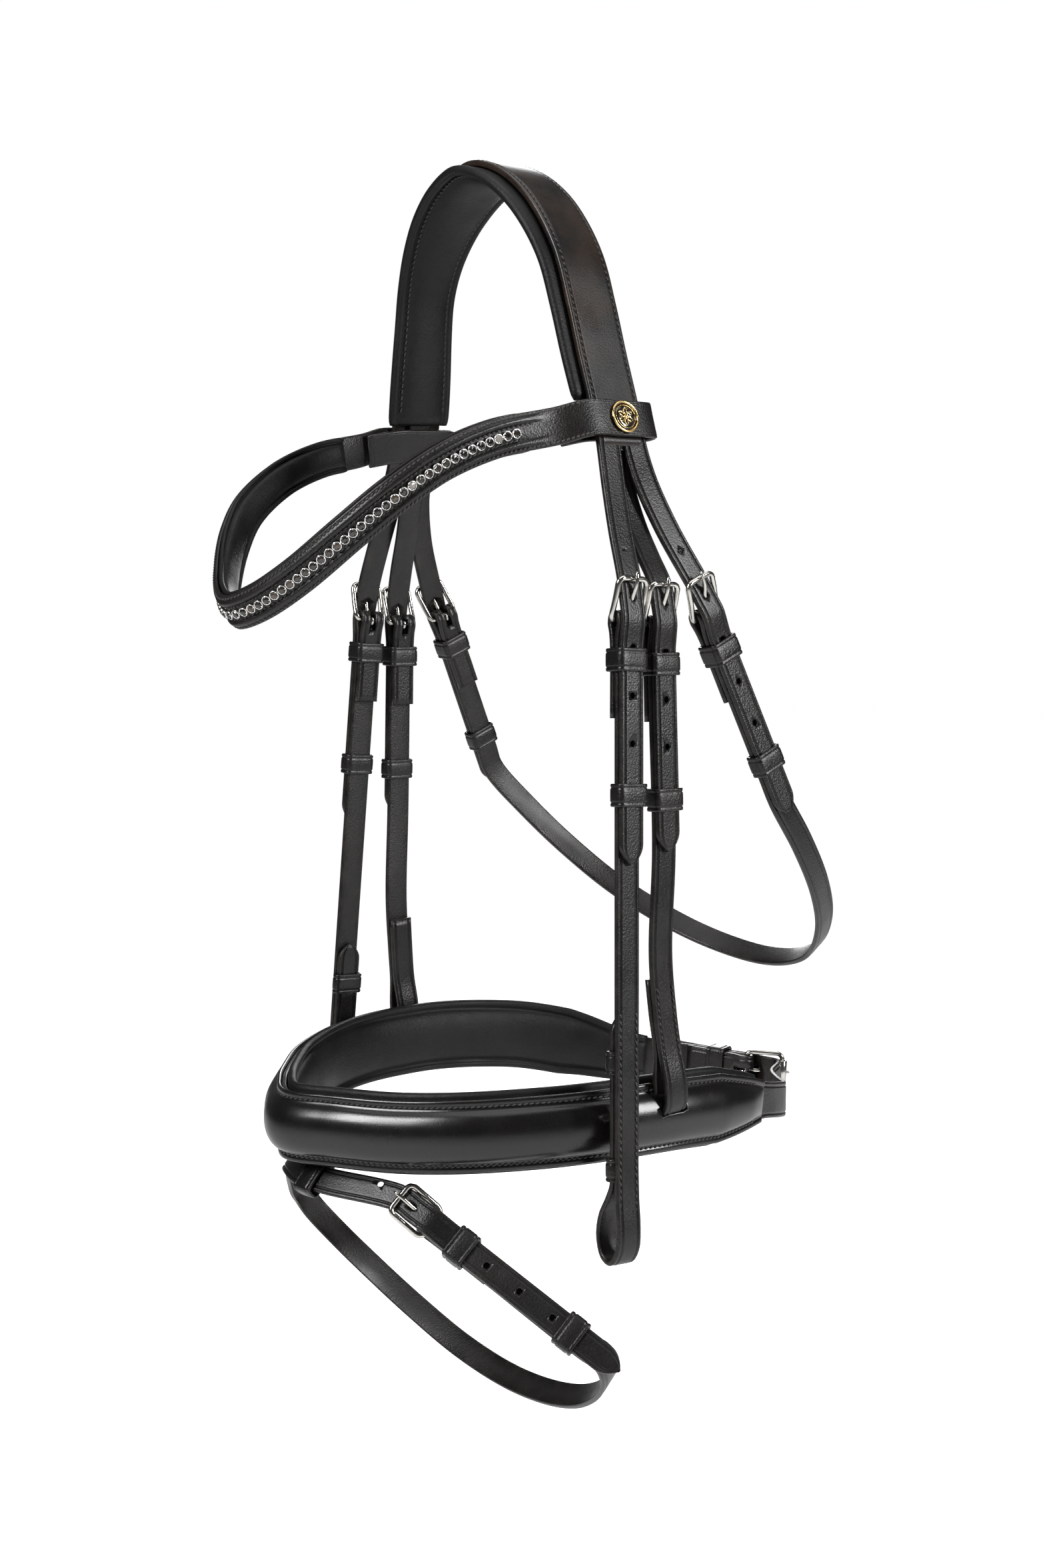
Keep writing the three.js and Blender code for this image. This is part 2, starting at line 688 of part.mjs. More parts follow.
add('crown_strap', crownStrap(), strapLeather);
add('crown_lining', crownLining(), softLining);
add('noseband_sliphead', sliphead(), strapLeather);
add('browband', browband(), strapLeather);
add('browband_lining', browbandLining(), softLining);
add('crystal_row', crystalRow(), crystalChain);
add('badge', badge(), gilt);

addPair('cheekpiece', cheekpiece(), strapLeather);
addPair('cheek_hook_stud', hookStud(), nickel);
addPair('bit_keeper_upper', bitKeeper(bitKeepers[0]), strapLeather);
addPair('bit_keeper_lower', bitKeeper(bitKeepers[1]), strapLeather);

const buckled = [
  ['cheek', cheekLine, 75],
  ['hanger', hangerLine, 76],
  ['throat', throatLine, 72],
];
for (const [name, line, runnerAt] of buckled) {
  addPair(`${name}_buckle_frame`, buckleFrame(line, frameHalf), nickel);
  addPair(`${name}_buckle_tongue`, buckleTongue(line), nickel);
  addPair(`${name}_keeper`, keeper(line, 17, chapeLow, billetHigh), strapLeather);
  addPair(`${name}_runner`, keeper(line, runnerAt, gap, billetHigh), strapLeather);
}

addPair('throat_billet', throatBillet(), strapLeather);
addPair('noseband_billet', nosebandBillet(), strapLeather);
addPair('noseband_hanger', hanger(), strapLeather);
add('noseband_strap', nosebandStrap(), strapLeather);
add('noseband_roll', nosebandRoll([hangerRoom(), mirrored(hangerRoom())]), strapLeather);
add('noseband_lining', nosebandLining(), softLining);
add('chin_buckle_frame', buckleFrame(chinLine, chinHalfWidth, frameLength, chinLift), nickel);
add('chin_buckle_tongue', buckleTongue(chinLine, frameLength, chinLift + 1.3), nickel);
add('chin_roller', chinRoller(), nickel);
add('chin_keeper', keeper(chinLine, 17, chapeLow, billetHigh, chinWidth / 2), strapLeather);
add('throatlatch', throatlatch(), strapLeather);
add('flash_strap', flashStrap(), strapLeather);
add('flash_tab', flashTab(), strapLeather);
add('flash_buckle_frame', buckleFrame(flashLine, frameHalf), nickel);
add('flash_buckle_tongue', buckleTongue(flashLine), nickel);
add('flash_keeper', keeper(flashLine, 17, chapeLow, billetHigh), strapLeather);
add('flash_runner', keeper(flashLine, 77, gap, billetHigh), strapLeather);

export default bridle;
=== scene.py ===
# Snaffle bridle: the looks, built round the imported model. Lengths inside the functions are in
# millimetres; a piece is scaled to metres when its mesh is made. The right side mirrors the left.
import math
import bmesh
import bpy
import numpy as np
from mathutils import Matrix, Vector


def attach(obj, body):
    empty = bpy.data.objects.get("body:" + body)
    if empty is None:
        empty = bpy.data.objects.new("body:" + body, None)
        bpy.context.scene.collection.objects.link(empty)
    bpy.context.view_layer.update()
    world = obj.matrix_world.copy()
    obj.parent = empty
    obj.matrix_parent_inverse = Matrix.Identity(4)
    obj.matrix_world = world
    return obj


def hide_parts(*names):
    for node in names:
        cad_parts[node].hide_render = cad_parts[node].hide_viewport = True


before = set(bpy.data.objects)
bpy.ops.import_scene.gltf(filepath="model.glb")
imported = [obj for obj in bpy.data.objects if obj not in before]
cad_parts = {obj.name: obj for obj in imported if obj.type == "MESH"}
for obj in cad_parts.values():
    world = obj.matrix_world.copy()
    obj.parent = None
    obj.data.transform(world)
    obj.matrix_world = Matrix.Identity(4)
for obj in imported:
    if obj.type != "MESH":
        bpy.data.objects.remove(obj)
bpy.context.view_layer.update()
print("frame loaded:", len(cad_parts), "solids")

sizes = dict(
    strapWidth=12.4, leather=2.6, gap=0.3, wire=1.3, tongueWire=1.1, frameLength=17.5, frameLift=6.0,
    holePitch=20.5, holeRadius=1.45, keeperLength=10.0, keeperWall=1.3, crownWidth=27.0, crownLeather=3.0,
    nosebandHeight=32.0, chinWidth=17.0, chinLift=7.8,
)
strapWidth, leather, gap = sizes["strapWidth"], sizes["leather"], sizes["gap"]
layerOut = leather / 2 + gap
billetOut = layerOut + leather + gap
up = np.array([0.0, 0.0, 1.0])


def vec(*xyz):
    return np.array(xyz, float)


def unit(v):
    return v / np.linalg.norm(v, axis=-1, keepdims=True)


def vecs(points):
    return [vec(*p) for p in points]


def flipX(points):
    return [vec(-p[0], p[1], p[2]) for p in points]


# Routes and the frames along them

# Smooth curve through the points; also gives the place in the list of points at each sample.
def curveThrough(points, perSpan=48):
    p = np.array(points, float)
    q = np.vstack([2 * p[0] - p[1], p, 2 * p[-1] - p[-2]])
    places, marks = [], []
    for i in range(len(p) - 1):
        q0, q1, q2, q3 = q[i:i + 4]
        d0, d1, d2 = [max(np.dot(b - a, b - a) ** 0.25, 1e-4) for a, b in ((q0, q1), (q1, q2), (q2, q3))]
        m1 = ((q1 - q0) / d0 - (q2 - q0) / (d0 + d1) + (q2 - q1) / d1) * d1
        m2 = ((q2 - q1) / d1 - (q3 - q1) / (d1 + d2) + (q3 - q2) / d2) * d1
        t = np.linspace(0, 1, perSpan, endpoint=i == len(p) - 2)[:, None]
        places.append((2 * t**3 - 3 * t**2 + 1) * q1 + (t**3 - 2 * t**2 + t) * m1
                      + (3 * t**2 - 2 * t**3) * q2 + (t**3 - t**2) * m2)
        marks.append(i + t[:, 0])
    return np.vstack(places), np.concatenate(marks)


# Stations along a route. across is one width direction, or one for each point of the route.
def layRoute(points, across, span=None, tip=0.0, step=3.2, turn=9.0):
    places, marks = curveThrough(points)
    if span:
        keep = (marks >= span[0]) & (marks <= span[1])
        places, marks = places[keep], marks[keep]
    run = np.concatenate([[0], np.cumsum(np.linalg.norm(np.diff(places, axis=0), axis=1))])
    length = run[-1]
    tangent = unit(np.gradient(places, run, axis=0))
    wanted, last = [0.0], 0
    body = length - tip
    for i in range(1, len(run)):
        bend = math.degrees(math.acos(max(-1.0, min(1.0, float(tangent[i] @ tangent[last])))))
        if (bend > turn or run[i] - run[last] > step) and run[i] < body - 0.7:
            wanted.append(run[i])
            last = i
    if tip:
        wanted += [length - tip * (1 - math.sin(math.radians(angle)))
                   for angle in range(0, 90, 8)] + [length]
    else:
        wanted.append(length)
    s = np.array(wanted)
    at = lambda values: np.stack([np.interp(s, run, values[:, k]) for k in range(3)], 1)
    middle, along = at(places), unit(at(tangent))
    mark = np.interp(s, run, marks)
    hints = np.array(across, float)
    if hints.ndim == 1:
        side = np.repeat(hints[None], len(s), 0)
    else:
        side = np.stack([np.interp(mark, np.arange(len(hints)), hints[:, k]) for k in range(3)], 1)
    side = unit(side - along * np.sum(side * along, 1, keepdims=True))
    out = np.cross(along, side)
    left = np.clip((length - s) / tip, 0, 1) if tip else np.ones(len(s))
    rounding = np.maximum((1 - (1 - left) ** 1.9) ** 0.82, 0.1)
    return dict(middle=middle, along=along, side=side, out=out, s=s, length=length, mark=mark,
                rounding=rounding)


def straightLine(origin, down, across):
    along = unit(vec(*down))
    side = vec(*across) - along * np.dot(vec(*across), along)
    side = unit(side)
    out = np.cross(along, side)
    origin = vec(*origin)
    at = lambda s, n, a=0.0: origin + along * s + out * n + side * a
    return dict(origin=origin, along=along, side=side, out=out, at=at)


cheekLine = straightLine((104, -3.5, -199), (13, -9.5, -201), (0, 1, 0))
hangerLine = straightLine((103, 15.2, -201), (4, 0.5, -105), (0, 1, 0))
throatLine = straightLine((104, 42, -197), (7, 38, -83), (0, 1, 0))
flashLine = straightLine((58.5, -74, -463), (0.745, 0.471, -0.55), (0, 0.69, 0.72))
chinLine = straightLine((-8, 171.5, -440), (-0.93, -0.37, 0.05), (0, 0, 1))


# Sections: rows of (side, inset from the edge, layer, rise) going round the strap

def strapSection(edge=0.9, crease=2.1, depth=0.5, crown=0.08, arc=5):
    rows = []
    for angle in np.linspace(270, 180, arc):
        rows.append((-1, edge + edge * math.cos(math.radians(angle)), 0,
                     edge + edge * math.sin(math.radians(angle))))
    for angle in np.linspace(180, 90, arc):
        rows.append((-1, edge + edge * math.cos(math.radians(angle)), 1,
                     -edge + edge * math.sin(math.radians(angle))))
    half = [(crease - 0.85, 0.0), (crease - 0.6, -0.03), (crease - 0.15, -depth), (crease + 0.15, -depth),
            (crease + 0.6, crown - 0.03), (crease + 0.85, crown), (crease + 1.6, crown)]
    if crease:
        rows += [(-1, inset, 1, rise) for inset, rise in half]
    left = list(rows)
    middle = (0, 0.0, 1, crown)
    right = [(1, inset, layer, rise) for _, inset, layer, rise in reversed(left)]
    return left + [middle] + right + [(0, 0.0, 0, 0.0)]


# Sweeps a section along a laid route. Returns places, faces and the marks that the finishes use.
def sweepStrap(laid, width, low, high, section):
    count = len(laid["s"])
    spread = lambda value: np.broadcast_to(np.asarray(value, float), (count,))
    width, low, high = spread(width), spread(low), spread(high)
    rows = np.array(section, float)
    sign, inset, layer, rise = rows.T
    a = sign * np.maximum(width[:, None] / 2 - inset, 0) * laid["rounding"][:, None]
    thin = np.clip(laid["rounding"] * 2.2, 0.55, 1)[:, None]
    middle = ((low + high) / 2)[:, None]
    n = np.where(layer == 1, high[:, None], low[:, None]) + rise
    n = middle + (n - middle) * thin
    rings = laid["middle"][:, None] + laid["side"][:, None] * a[..., None] + laid["out"][:, None] * n[...,
            None]
    edge = np.where((sign != 0) & (inset < 1.05), 1.0, 0.0)
    flesh = np.where((layer == 0) & (edge == 0), 1.0, 0.0)
    return ringsToMesh(rings, edge, flesh)


def ringsToMesh(rings, edge=None, flesh=None, loop=False):
    count, across = rings.shape[:2]
    faces = []
    for i in range(count if loop else count - 1):
        j = (i + 1) % count
        for k in range(across):
            m = (k + 1) % across
            faces.append((i * across + k, i * across + m, j * across + m, j * across + k))
    if not loop:
        faces.append(tuple(range(across - 1, -1, -1)))
        faces.append(tuple((count - 1) * across + k for k in range(across)))
    marks = dict(
        edge=np.tile(edge if edge is not None else np.zeros(across), count),
        flesh=np.tile(flesh if flesh is not None else np.zeros(across), count),
    )
    return dict(places=rings.reshape(-1, 3), faces=faces, marks=marks)


def joinShapes(shapes):
    places, faces, marks, base = [], [], dict(edge=[], flesh=[]), 0
    for shape in shapes:
        places.append(shape["places"])
        faces += [tuple(base + i for i in face) for face in shape["faces"]]
        for key in marks:
            marks[key].append(shape["marks"][key])
        base += len(shape["places"])
    return dict(places=np.vstack(places), faces=faces,
                marks={k: np.concatenate(v) for k, v in marks.items()})


def plainShape(places, faces):
    blank = np.zeros(len(places))
    return dict(places=np.array(places, float), faces=faces, marks=dict(edge=blank, flesh=blank))


# Making the pieces

pieces = {}


def makeMesh(name, shape, finish, smooth=True, mirrored=False):
    places = shape["places"] * (np.array([-1, 1, 1]) if mirrored else 1) / 1000
    mesh = bpy.data.meshes.new(name)
    mesh.from_pydata(places.tolist(), [], shape["faces"])
    for key, values in shape["marks"].items():
        mesh.attributes.new(key, "FLOAT", "POINT").data.foreach_set("value", np.asarray(values, np.float32))
    work = bmesh.new()
    work.from_mesh(mesh)
    bmesh.ops.recalc_face_normals(work, faces=work.faces)
    work.to_mesh(mesh)
    work.free()
    mesh.polygons.foreach_set("use_smooth", [smooth] * len(mesh.polygons))
    mesh.materials.append(finish)
    piece = bpy.data.objects.new(name, mesh)
    bpy.context.scene.collection.objects.link(piece)
    pieces[name] = piece
    return piece


# Cuts closed shapes out of a piece.
def cutFrom(piece, shapes, mirrored=False):
    cutter = makeMesh(piece.name + "Cutter", joinShapes(shapes), piece.data.materials[0], mirrored=mirrored)
    cut = piece.modifiers.new("cut", "BOOLEAN")
    cut.operation, cut.solver, cut.object = "DIFFERENCE", "EXACT", cutter
    cut.use_self = True
    graph = bpy.context.evaluated_depsgraph_get()
    done = bpy.data.meshes.new_from_object(piece.evaluated_get(graph))
    piece.modifiers.clear()
    old, piece.data = piece.data, done
    done.name = old.name
    bpy.data.meshes.remove(old)
    pieces.pop(cutter.name)
    bpy.data.objects.remove(cutter)


# A piece, or a pair of them, that rides on a body and stands for CAD nodes.
def place(name, shape, finish, body, nodes=(), smooth=True, pair=False, cutters=()):
    made = []
    for mirrored, suffix in ((False, "Left"), (True, "Right")) if pair else ((False, ""),):
        label = suffix.lower()
        piece = makeMesh(name + suffix, shape, finish, smooth, mirrored)
        if cutters:
            cutFrom(piece, cutters, mirrored)
        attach(piece, body.format(side=label))
        if nodes:
            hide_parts(*[node.format(side=label) for node in nodes])
        made.append(piece)
    return made


# Shader groups that several finishes share

def newGroup(name, inputs, outputs):
    group = bpy.data.node_groups.new(name, "ShaderNodeTree")
    for label, kind, value in inputs:
        socket = group.interface.new_socket(label, in_out="INPUT", socket_type=kind)
        if value is not None:
            socket.default_value = value
    for label, kind in outputs:
        group.interface.new_socket(label, in_out="OUTPUT", socket_type=kind)
    return group, group.nodes.new("NodeGroupInput"), group.nodes.new("NodeGroupOutput")


def addNode(tree, kind, **values):
    node = tree.nodes.new(kind)
    for key, value in values.items():
        setattr(node, key, value)
    return node


def setInputs(node, **values):
    for key, value in values.items():
        node.inputs[key.replace("_", " ")].default_value = value


def addNoise(tree, vector, scale, **values):
    node = addNode(tree, "ShaderNodeTexNoise")
    if isinstance(scale, (int, float)):
        node.inputs["Scale"].default_value = scale
    else:
        tree.links.new(scale, node.inputs["Scale"])
    setInputs(node, **values)
    tree.links.new(vector, node.inputs["Vector"])
    return node.outputs["Fac"]


def addBump(tree, shader, height, strength, distance):
    bump = addNode(tree, "ShaderNodeBump")
    setInputs(bump, Strength=strength, Distance=distance)
    tree.links.new(height, bump.inputs["Height"])
    tree.links.new(bump.outputs[0], shader.inputs["Normal"])


def ramp(tree, source, stops):
    node = tree.nodes.new("ShaderNodeValToRGB")
    elements = node.color_ramp.elements
    while len(elements) < len(stops):
        elements.new(0.5)
    for element, (position, color) in zip(elements, stops):
        element.position = position
        element.color = (color,) * 3 + (1,) if isinstance(color, float) else tuple(color) + (1,)
    tree.links.new(source, node.inputs["Fac"])
    return node.outputs["Color"]


def math2(tree, operation, a, b):
    node = addNode(tree, "ShaderNodeMath", operation=operation)
    for socket, value in zip(node.inputs, (a, b)):
        if isinstance(value, (int, float)):
            socket.default_value = value
        else:
            tree.links.new(value, socket)
    return node.outputs[0]


def mixColor(tree, factor, a, b, blend="MIX"):
    node = addNode(tree, "ShaderNodeMix", data_type="RGBA", blend_type=blend)
    for socket, value in ((node.inputs[0], factor), (node.inputs[6], a), (node.inputs[7], b)):
        if isinstance(value, (int, float)):
            socket.default_value = value
        elif isinstance(value, tuple):
            socket.default_value = value + (1,)
        else:
            tree.links.new(value, socket)
    return node.outputs[2]


# Pebbled grain: small cells with fine creases between them, and a slow change of tone. The height also
# darkens the leathers' base colour in the creases, as painted shade.
def makeHideGrain():
    group, ins, outs = newGroup(
        "hideGrain",
        [("Vector", "NodeSocketVector", None), ("Scale", "NodeSocketFloat", 1000.0),
         ("Fine", "NodeSocketFloat", 0.4)],
        [("Height", "NodeSocketFloat"), ("Mottle", "NodeSocketFloat")],
    )
    link = group.links.new
    wander = addNode(group, "ShaderNodeTexNoise")
    setInputs(wander, Scale=320, Detail=2)
    link(ins.outputs["Vector"], wander.inputs["Vector"])
    bent = addNode(group, "ShaderNodeVectorMath", operation="MULTIPLY_ADD")
    link(wander.outputs["Color"], bent.inputs[0])
    bent.inputs[1].default_value = (0.0009, 0.0009, 0.0009)
    link(ins.outputs["Vector"], bent.inputs[2])
    cells = addNode(group, "ShaderNodeTexVoronoi", feature="SMOOTH_F1")
    link(bent.outputs[0], cells.inputs["Vector"])
    link(ins.outputs["Scale"], cells.inputs["Scale"])
    cells.inputs["Smoothness"].default_value = 0.35
    fine = addNoise(group, ins.outputs["Vector"], 5200, Detail=3)
    pebbles = math2(group, "SUBTRACT", 1.0, cells.outputs["Distance"])
    fineShare = math2(group, "MULTIPLY", fine, ins.outputs["Fine"])
    link(math2(group, "ADD", pebbles, fineShare), outs.inputs["Height"])
    link(addNoise(group, ins.outputs["Vector"], 26, Detail=4, Roughness=0.62), outs.inputs["Mottle"])
    return group


# Handling marks: short scratches and smudges, as a mask.
def makeHandling():
    group, ins, outs = newGroup(
        "handlingMarks",
        [("Vector", "NodeSocketVector", None), ("Scale", "NodeSocketFloat", 60.0)],
        [("Scratches", "NodeSocketFloat"), ("Smudge", "NodeSocketFloat")],
    )
    link = group.links.new
    stretch = addNode(group, "ShaderNodeMapping")
    setInputs(stretch, Scale=(5, 5, 1), Rotation=(0.3, 0.2, 0.6))
    link(ins.outputs["Vector"], stretch.inputs["Vector"])
    lines = addNoise(group, stretch.outputs[0], math2(group, "MULTIPLY", ins.outputs["Scale"], 4.0),
                     Detail=6)
    link(ramp(group, lines, [(0.6, 0.0), (0.74, 1.0)]), outs.inputs["Scratches"])
    cloud = addNoise(group, ins.outputs["Vector"], ins.outputs["Scale"], Detail=3)
    link(ramp(group, cloud, [(0.35, 0.0), (0.7, 1.0)]), outs.inputs["Smudge"])
    return group


# Wear along a burnished edge, broken up so that it isn't an even line.
def makeEdgeWear():
    group, ins, outs = newGroup(
        "edgeWear",
        [("Vector", "NodeSocketVector", None), ("Edge", "NodeSocketFloat", 0.0)],
        [("Mask", "NodeSocketFloat")],
    )
    link = group.links.new
    broken = addNoise(group, ins.outputs["Vector"], 140, Detail=5)
    patchy = ramp(group, broken, [(0.42, 0.0), (0.66, 1.0)])
    link(math2(group, "MULTIPLY", patchy, ins.outputs["Edge"]), outs.inputs["Mask"])
    return group


hideGrain, handlingMarks, edgeWear = makeHideGrain(), makeHandling(), makeEdgeWear()


def useGroup(tree, group, **values):
    node = tree.nodes.new("ShaderNodeGroup")
    node.node_tree = group
    for key, value in values.items():
        if isinstance(value, (int, float)):
            node.inputs[key].default_value = value
        else:
            tree.links.new(value, node.inputs[key])
    return node


def newFinish(name, slot):
    finish = bpy.data.materials.new(name)
    finish.use_nodes = True
    finish["slot"] = slot
    tree = finish.node_tree
    shader = tree.nodes["Principled BSDF"]
    coords = tree.nodes.new("ShaderNodeTexCoord").outputs["Object"]
    return finish, tree, shader, coords


def attribute(tree, name):
    return addNode(tree, "ShaderNodeAttribute", attribute_name=name).outputs["Fac"]


leatherFinishes = dict(
    bridleLeather=dict(slot="strap_leather", color=(0.0048, 0.0046, 0.0045), warm=(0.0098, 0.0073, 0.0062),
                       worn=(0.032, 0.027, 0.023),
                       grainScale=1150.0, grain=0.34, fine=0.35, rough=(0.29, 0.43), coat=0.12,
                       specular=0.38),
    crownLeather=dict(slot="strap_leather", color=(0.0078, 0.007, 0.0066), warm=(0.027, 0.0145, 0.0088),
                      worn=(0.045, 0.031, 0.024),
                      grainScale=1500.0, grain=0.1, fine=0.25, rough=(0.26, 0.38), coat=0.16,
                      specular=0.42),
    rollLeather=dict(slot="padded_leather", color=(0.0042, 0.0041, 0.0041), warm=(0.0075, 0.0062, 0.0056),
                     worn=(0.03, 0.026, 0.023),
                     grainScale=1700.0, grain=0.07, fine=0.2, rough=(0.2, 0.3), coat=0.35, specular=0.4),
    liningLeather=dict(slot="soft_lining", color=(0.0058, 0.0058, 0.006), warm=(0.0088, 0.0084, 0.0082),
                       worn=(0.024, 0.023, 0.022),
                       grainScale=900.0, grain=0.34, fine=0.6, rough=(0.4, 0.54), coat=0.0, specular=0.24),
)


def makeLeather(name):
    values = leatherFinishes[name]
    finish, tree, shader, coords = newFinish(name, values["slot"])
    link = tree.links.new
    grain = useGroup(tree, hideGrain, Vector=coords, Scale=values["grainScale"], Fine=values["fine"])
    marks = useGroup(tree, handlingMarks, Vector=coords, Scale=55.0)
    wear = useGroup(tree, edgeWear, Vector=coords, Edge=attribute(tree, "edge"))
    flesh = attribute(tree, "flesh")
    tone = ramp(tree, grain.outputs["Mottle"], [(0.42, 0.0), (0.68, 1.0)])
    color = mixColor(tree, tone, values["color"], values["warm"])
    color = mixColor(tree, math2(tree, "MULTIPLY", flesh, 0.55), color, (0.016, 0.0145, 0.0138))
    color = mixColor(tree, math2(tree, "MULTIPLY", wear.outputs["Mask"], 0.5), color, values["worn"])
    # Painted shade: the base colour is darkened in the grain's creases, where shade would fall.
    paintedCreaseShade = ramp(tree, grain.outputs["Height"], [(0.35, 0.55), (0.8, 1.0)])
    link(mixColor(tree, 0.7, color, paintedCreaseShade, "MULTIPLY"), shader.inputs["Base Color"])
    low, high = values["rough"]
    rough = addNode(tree, "ShaderNodeMapRange")
    setInputs(rough, To_Min=low, To_Max=high)
    link(marks.outputs["Smudge"], rough.inputs["Value"])
    rough = math2(tree, "ADD", rough.outputs[0], math2(tree, "MULTIPLY", marks.outputs["Scratches"], 0.08))
    link(math2(tree, "ADD", rough, math2(tree, "MULTIPLY", flesh, 0.16)), shader.inputs["Roughness"])
    addBump(tree, shader, grain.outputs["Height"], values["grain"], 0.0003)
    setInputs(shader, Specular_IOR_Level=values["specular"], Coat_Weight=values["coat"],
              Coat_Roughness=0.22)
    return finish


metalFinishes = dict(
    nickel=dict(slot="nickel", color=(0.64, 0.62, 0.585), dull=(0.36, 0.345, 0.32), rough=(0.08, 0.2)),
    cupSilver=dict(slot="crystal_chain", color=(0.86, 0.85, 0.83), dull=(0.42, 0.41, 0.4),
                   rough=(0.12, 0.3)),
    gilt=dict(slot="gilt", color=(0.86, 0.62, 0.27), dull=(0.5, 0.33, 0.14), rough=(0.12, 0.26)),
)


def makeMetal(name):
    values = metalFinishes[name]
    finish, tree, shader, coords = newFinish(name, values["slot"])
    link = tree.links.new
    marks = useGroup(tree, handlingMarks, Vector=coords, Scale=160.0)
    link(mixColor(tree, math2(tree, "MULTIPLY", marks.outputs["Smudge"], 0.35), values["color"],
                  values["dull"]),
         shader.inputs["Base Color"])
    rough = addNode(tree, "ShaderNodeMapRange")
    low, high = values["rough"]
    setInputs(rough, To_Min=low, To_Max=high)
    link(marks.outputs["Smudge"], rough.inputs["Value"])
    link(math2(tree, "ADD", rough.outputs[0], math2(tree, "MULTIPLY", marks.outputs["Scratches"], 0.1)),
         shader.inputs["Roughness"])
    shader.inputs["Metallic"].default_value = 1.0
    return finish


def makeThread():
    finish, tree, shader, coords = newFinish("waxedThread", "strap_leather")
    twist = addNoise(tree, coords, 3200)
    tone = ramp(tree, twist, [(0.35, (0.012, 0.0115, 0.011)), (0.7, (0.06, 0.056, 0.053))])
    tree.links.new(tone, shader.inputs["Base Color"])
    tree.links.new(ramp(tree, twist, [(0.3, 0.35), (0.7, 0.6)]), shader.inputs["Roughness"])
    addBump(tree, shader, twist, 0.4, 0.0001)
    return finish


def makeStone():
    finish, tree, shader, coords = newFinish("cutStone", "crystal_chain")
    tone = attribute(tree, "edge")
    color = ramp(tree, tone, [(0.0, (0.012, 0.009, 0.008)), (0.5, (0.12, 0.085, 0.06)),
                              (1.0, (0.75, 0.72, 0.68))])
    speck = addNoise(tree, coords, 900)
    tree.links.new(mixColor(tree, 0.5, color, ramp(tree, speck, [(0.3, 0.6), (0.7, 1.0)]), "MULTIPLY"),
                   shader.inputs["Base Color"])
    setInputs(shader, Roughness=0.04, IOR=1.6, Transmission_Weight=0.35, Coat_Weight=0.6)
    return finish


def makeEnamel():
    finish, tree, shader, coords = newFinish("darkEnamel", "gilt")
    swirl = addNoise(tree, coords, 380)
    tree.links.new(ramp(tree, swirl, [(0.3, (0.006, 0.006, 0.007)), (0.75, (0.02, 0.018, 0.018))]),
                   shader.inputs["Base Color"])
    tree.links.new(ramp(tree, swirl, [(0.3, 0.08), (0.8, 0.2)]), shader.inputs["Roughness"])
    shader.inputs["Coat Weight"].default_value = 0.7
    return finish


bridleLeather, crownHide, rollHide, liningHide = [makeLeather(name) for name in leatherFinishes]
nickel, cupSilver, gilt = [makeMetal(name) for name in metalFinishes]
thread, stone, enamel = makeThread(), makeStone(), makeEnamel()
print("finishes made")


# Small parts

# Round wire along a route; radius may change along it.
def wireShape(points, radius, sides=12, step=0.9, closed=False, taper=None):
    if closed:
        rings = []
        count = len(points)
        for i in range(count):
            along = unit(points[(i + 1) % count] - points[i - 1])
            rings.append((points[i], along))
        centre = sum(points) / count
        frames = []
        for p, along in rings:
            first = unit(np.cross(along, np.cross(p - centre, along)))
            frames.append((p, first, np.cross(along, first), radius))
    else:
        laid = layRoute(points, perpendicular(points), step=step, turn=12)
        share = laid["s"] / laid["length"]
        frames = [(m, sd, o, radius * (taper(t) if taper else 1))
                  for m, sd, o, t in zip(laid["middle"], laid["side"], laid["out"], share)]
    angles = np.linspace(0, 2 * math.pi, sides, endpoint=False)
    rings = np.array([[p + r * (math.cos(t) * x + math.sin(t) * y) for t in angles]
                      for p, x, y, r in frames])
    return ringsToMesh(rings, loop=closed)


def perpendicular(points):
    p = np.array(points)
    spread = unit(p[-1] - p[0])
    normal = np.cross(spread, p[len(p) // 2] - p[0])
    return unit(normal) if np.linalg.norm(normal) > 1e-6 else unit(np.cross(spread, vec(0.3, 0.5, 0.8)))


def latheShape(profile, line, s, n, axis="out", sides=24):
    rings = []
    directions = dict(out=(line["along"], line["side"], line["out"]),
                      side=(line["out"], line["along"], line["side"]))
    x, y, z = directions[axis]
    centre = line["at"](s, n)
    for t in np.linspace(0, 2 * math.pi, sides, endpoint=False):
        rings.append([centre + r * (math.cos(t) * x + math.sin(t) * y) + h * z for r, h in profile])
    return ringsToMesh(np.array(rings), loop=True)


buckle = dict(corner=2.9, sides=12, sag=0.5)  # the side wires bow a little, as a cast frame does


def frameShape(line, halfWidth, length, lift, wire=sizes["wire"]):
    corner = buckle["corner"]
    path = []
    for quarter, (towardsA, towardsS) in enumerate(((1, 1), (-1, 1), (-1, -1), (1, -1))):
        for angle in np.radians(np.linspace(0, 90, 8)) + quarter * math.pi / 2:
            path.append((towardsA * (halfWidth - corner) + corner * math.cos(angle),
                         -length / 2 + towardsS * (length / 2 - corner) + corner * math.sin(angle)))
    dense = []
    for i, (a, s) in enumerate(path):
        a2, s2 = path[(i + 1) % len(path)]
        steps = max(1, int(math.hypot(a2 - a, s2 - s) / 1.6))
        dense += [(a + (a2 - a) * k / steps, s + (s2 - s) * k / steps) for k in range(steps)]
    points = []
    for a, s in dense:
        share = min(max(-s / length, 0), 1)
        points.append(line["at"](s, lift * share + buckle["sag"] * math.sin(math.pi * share), a))
    return wireShape(points, wire, sides=buckle["sides"], closed=True)


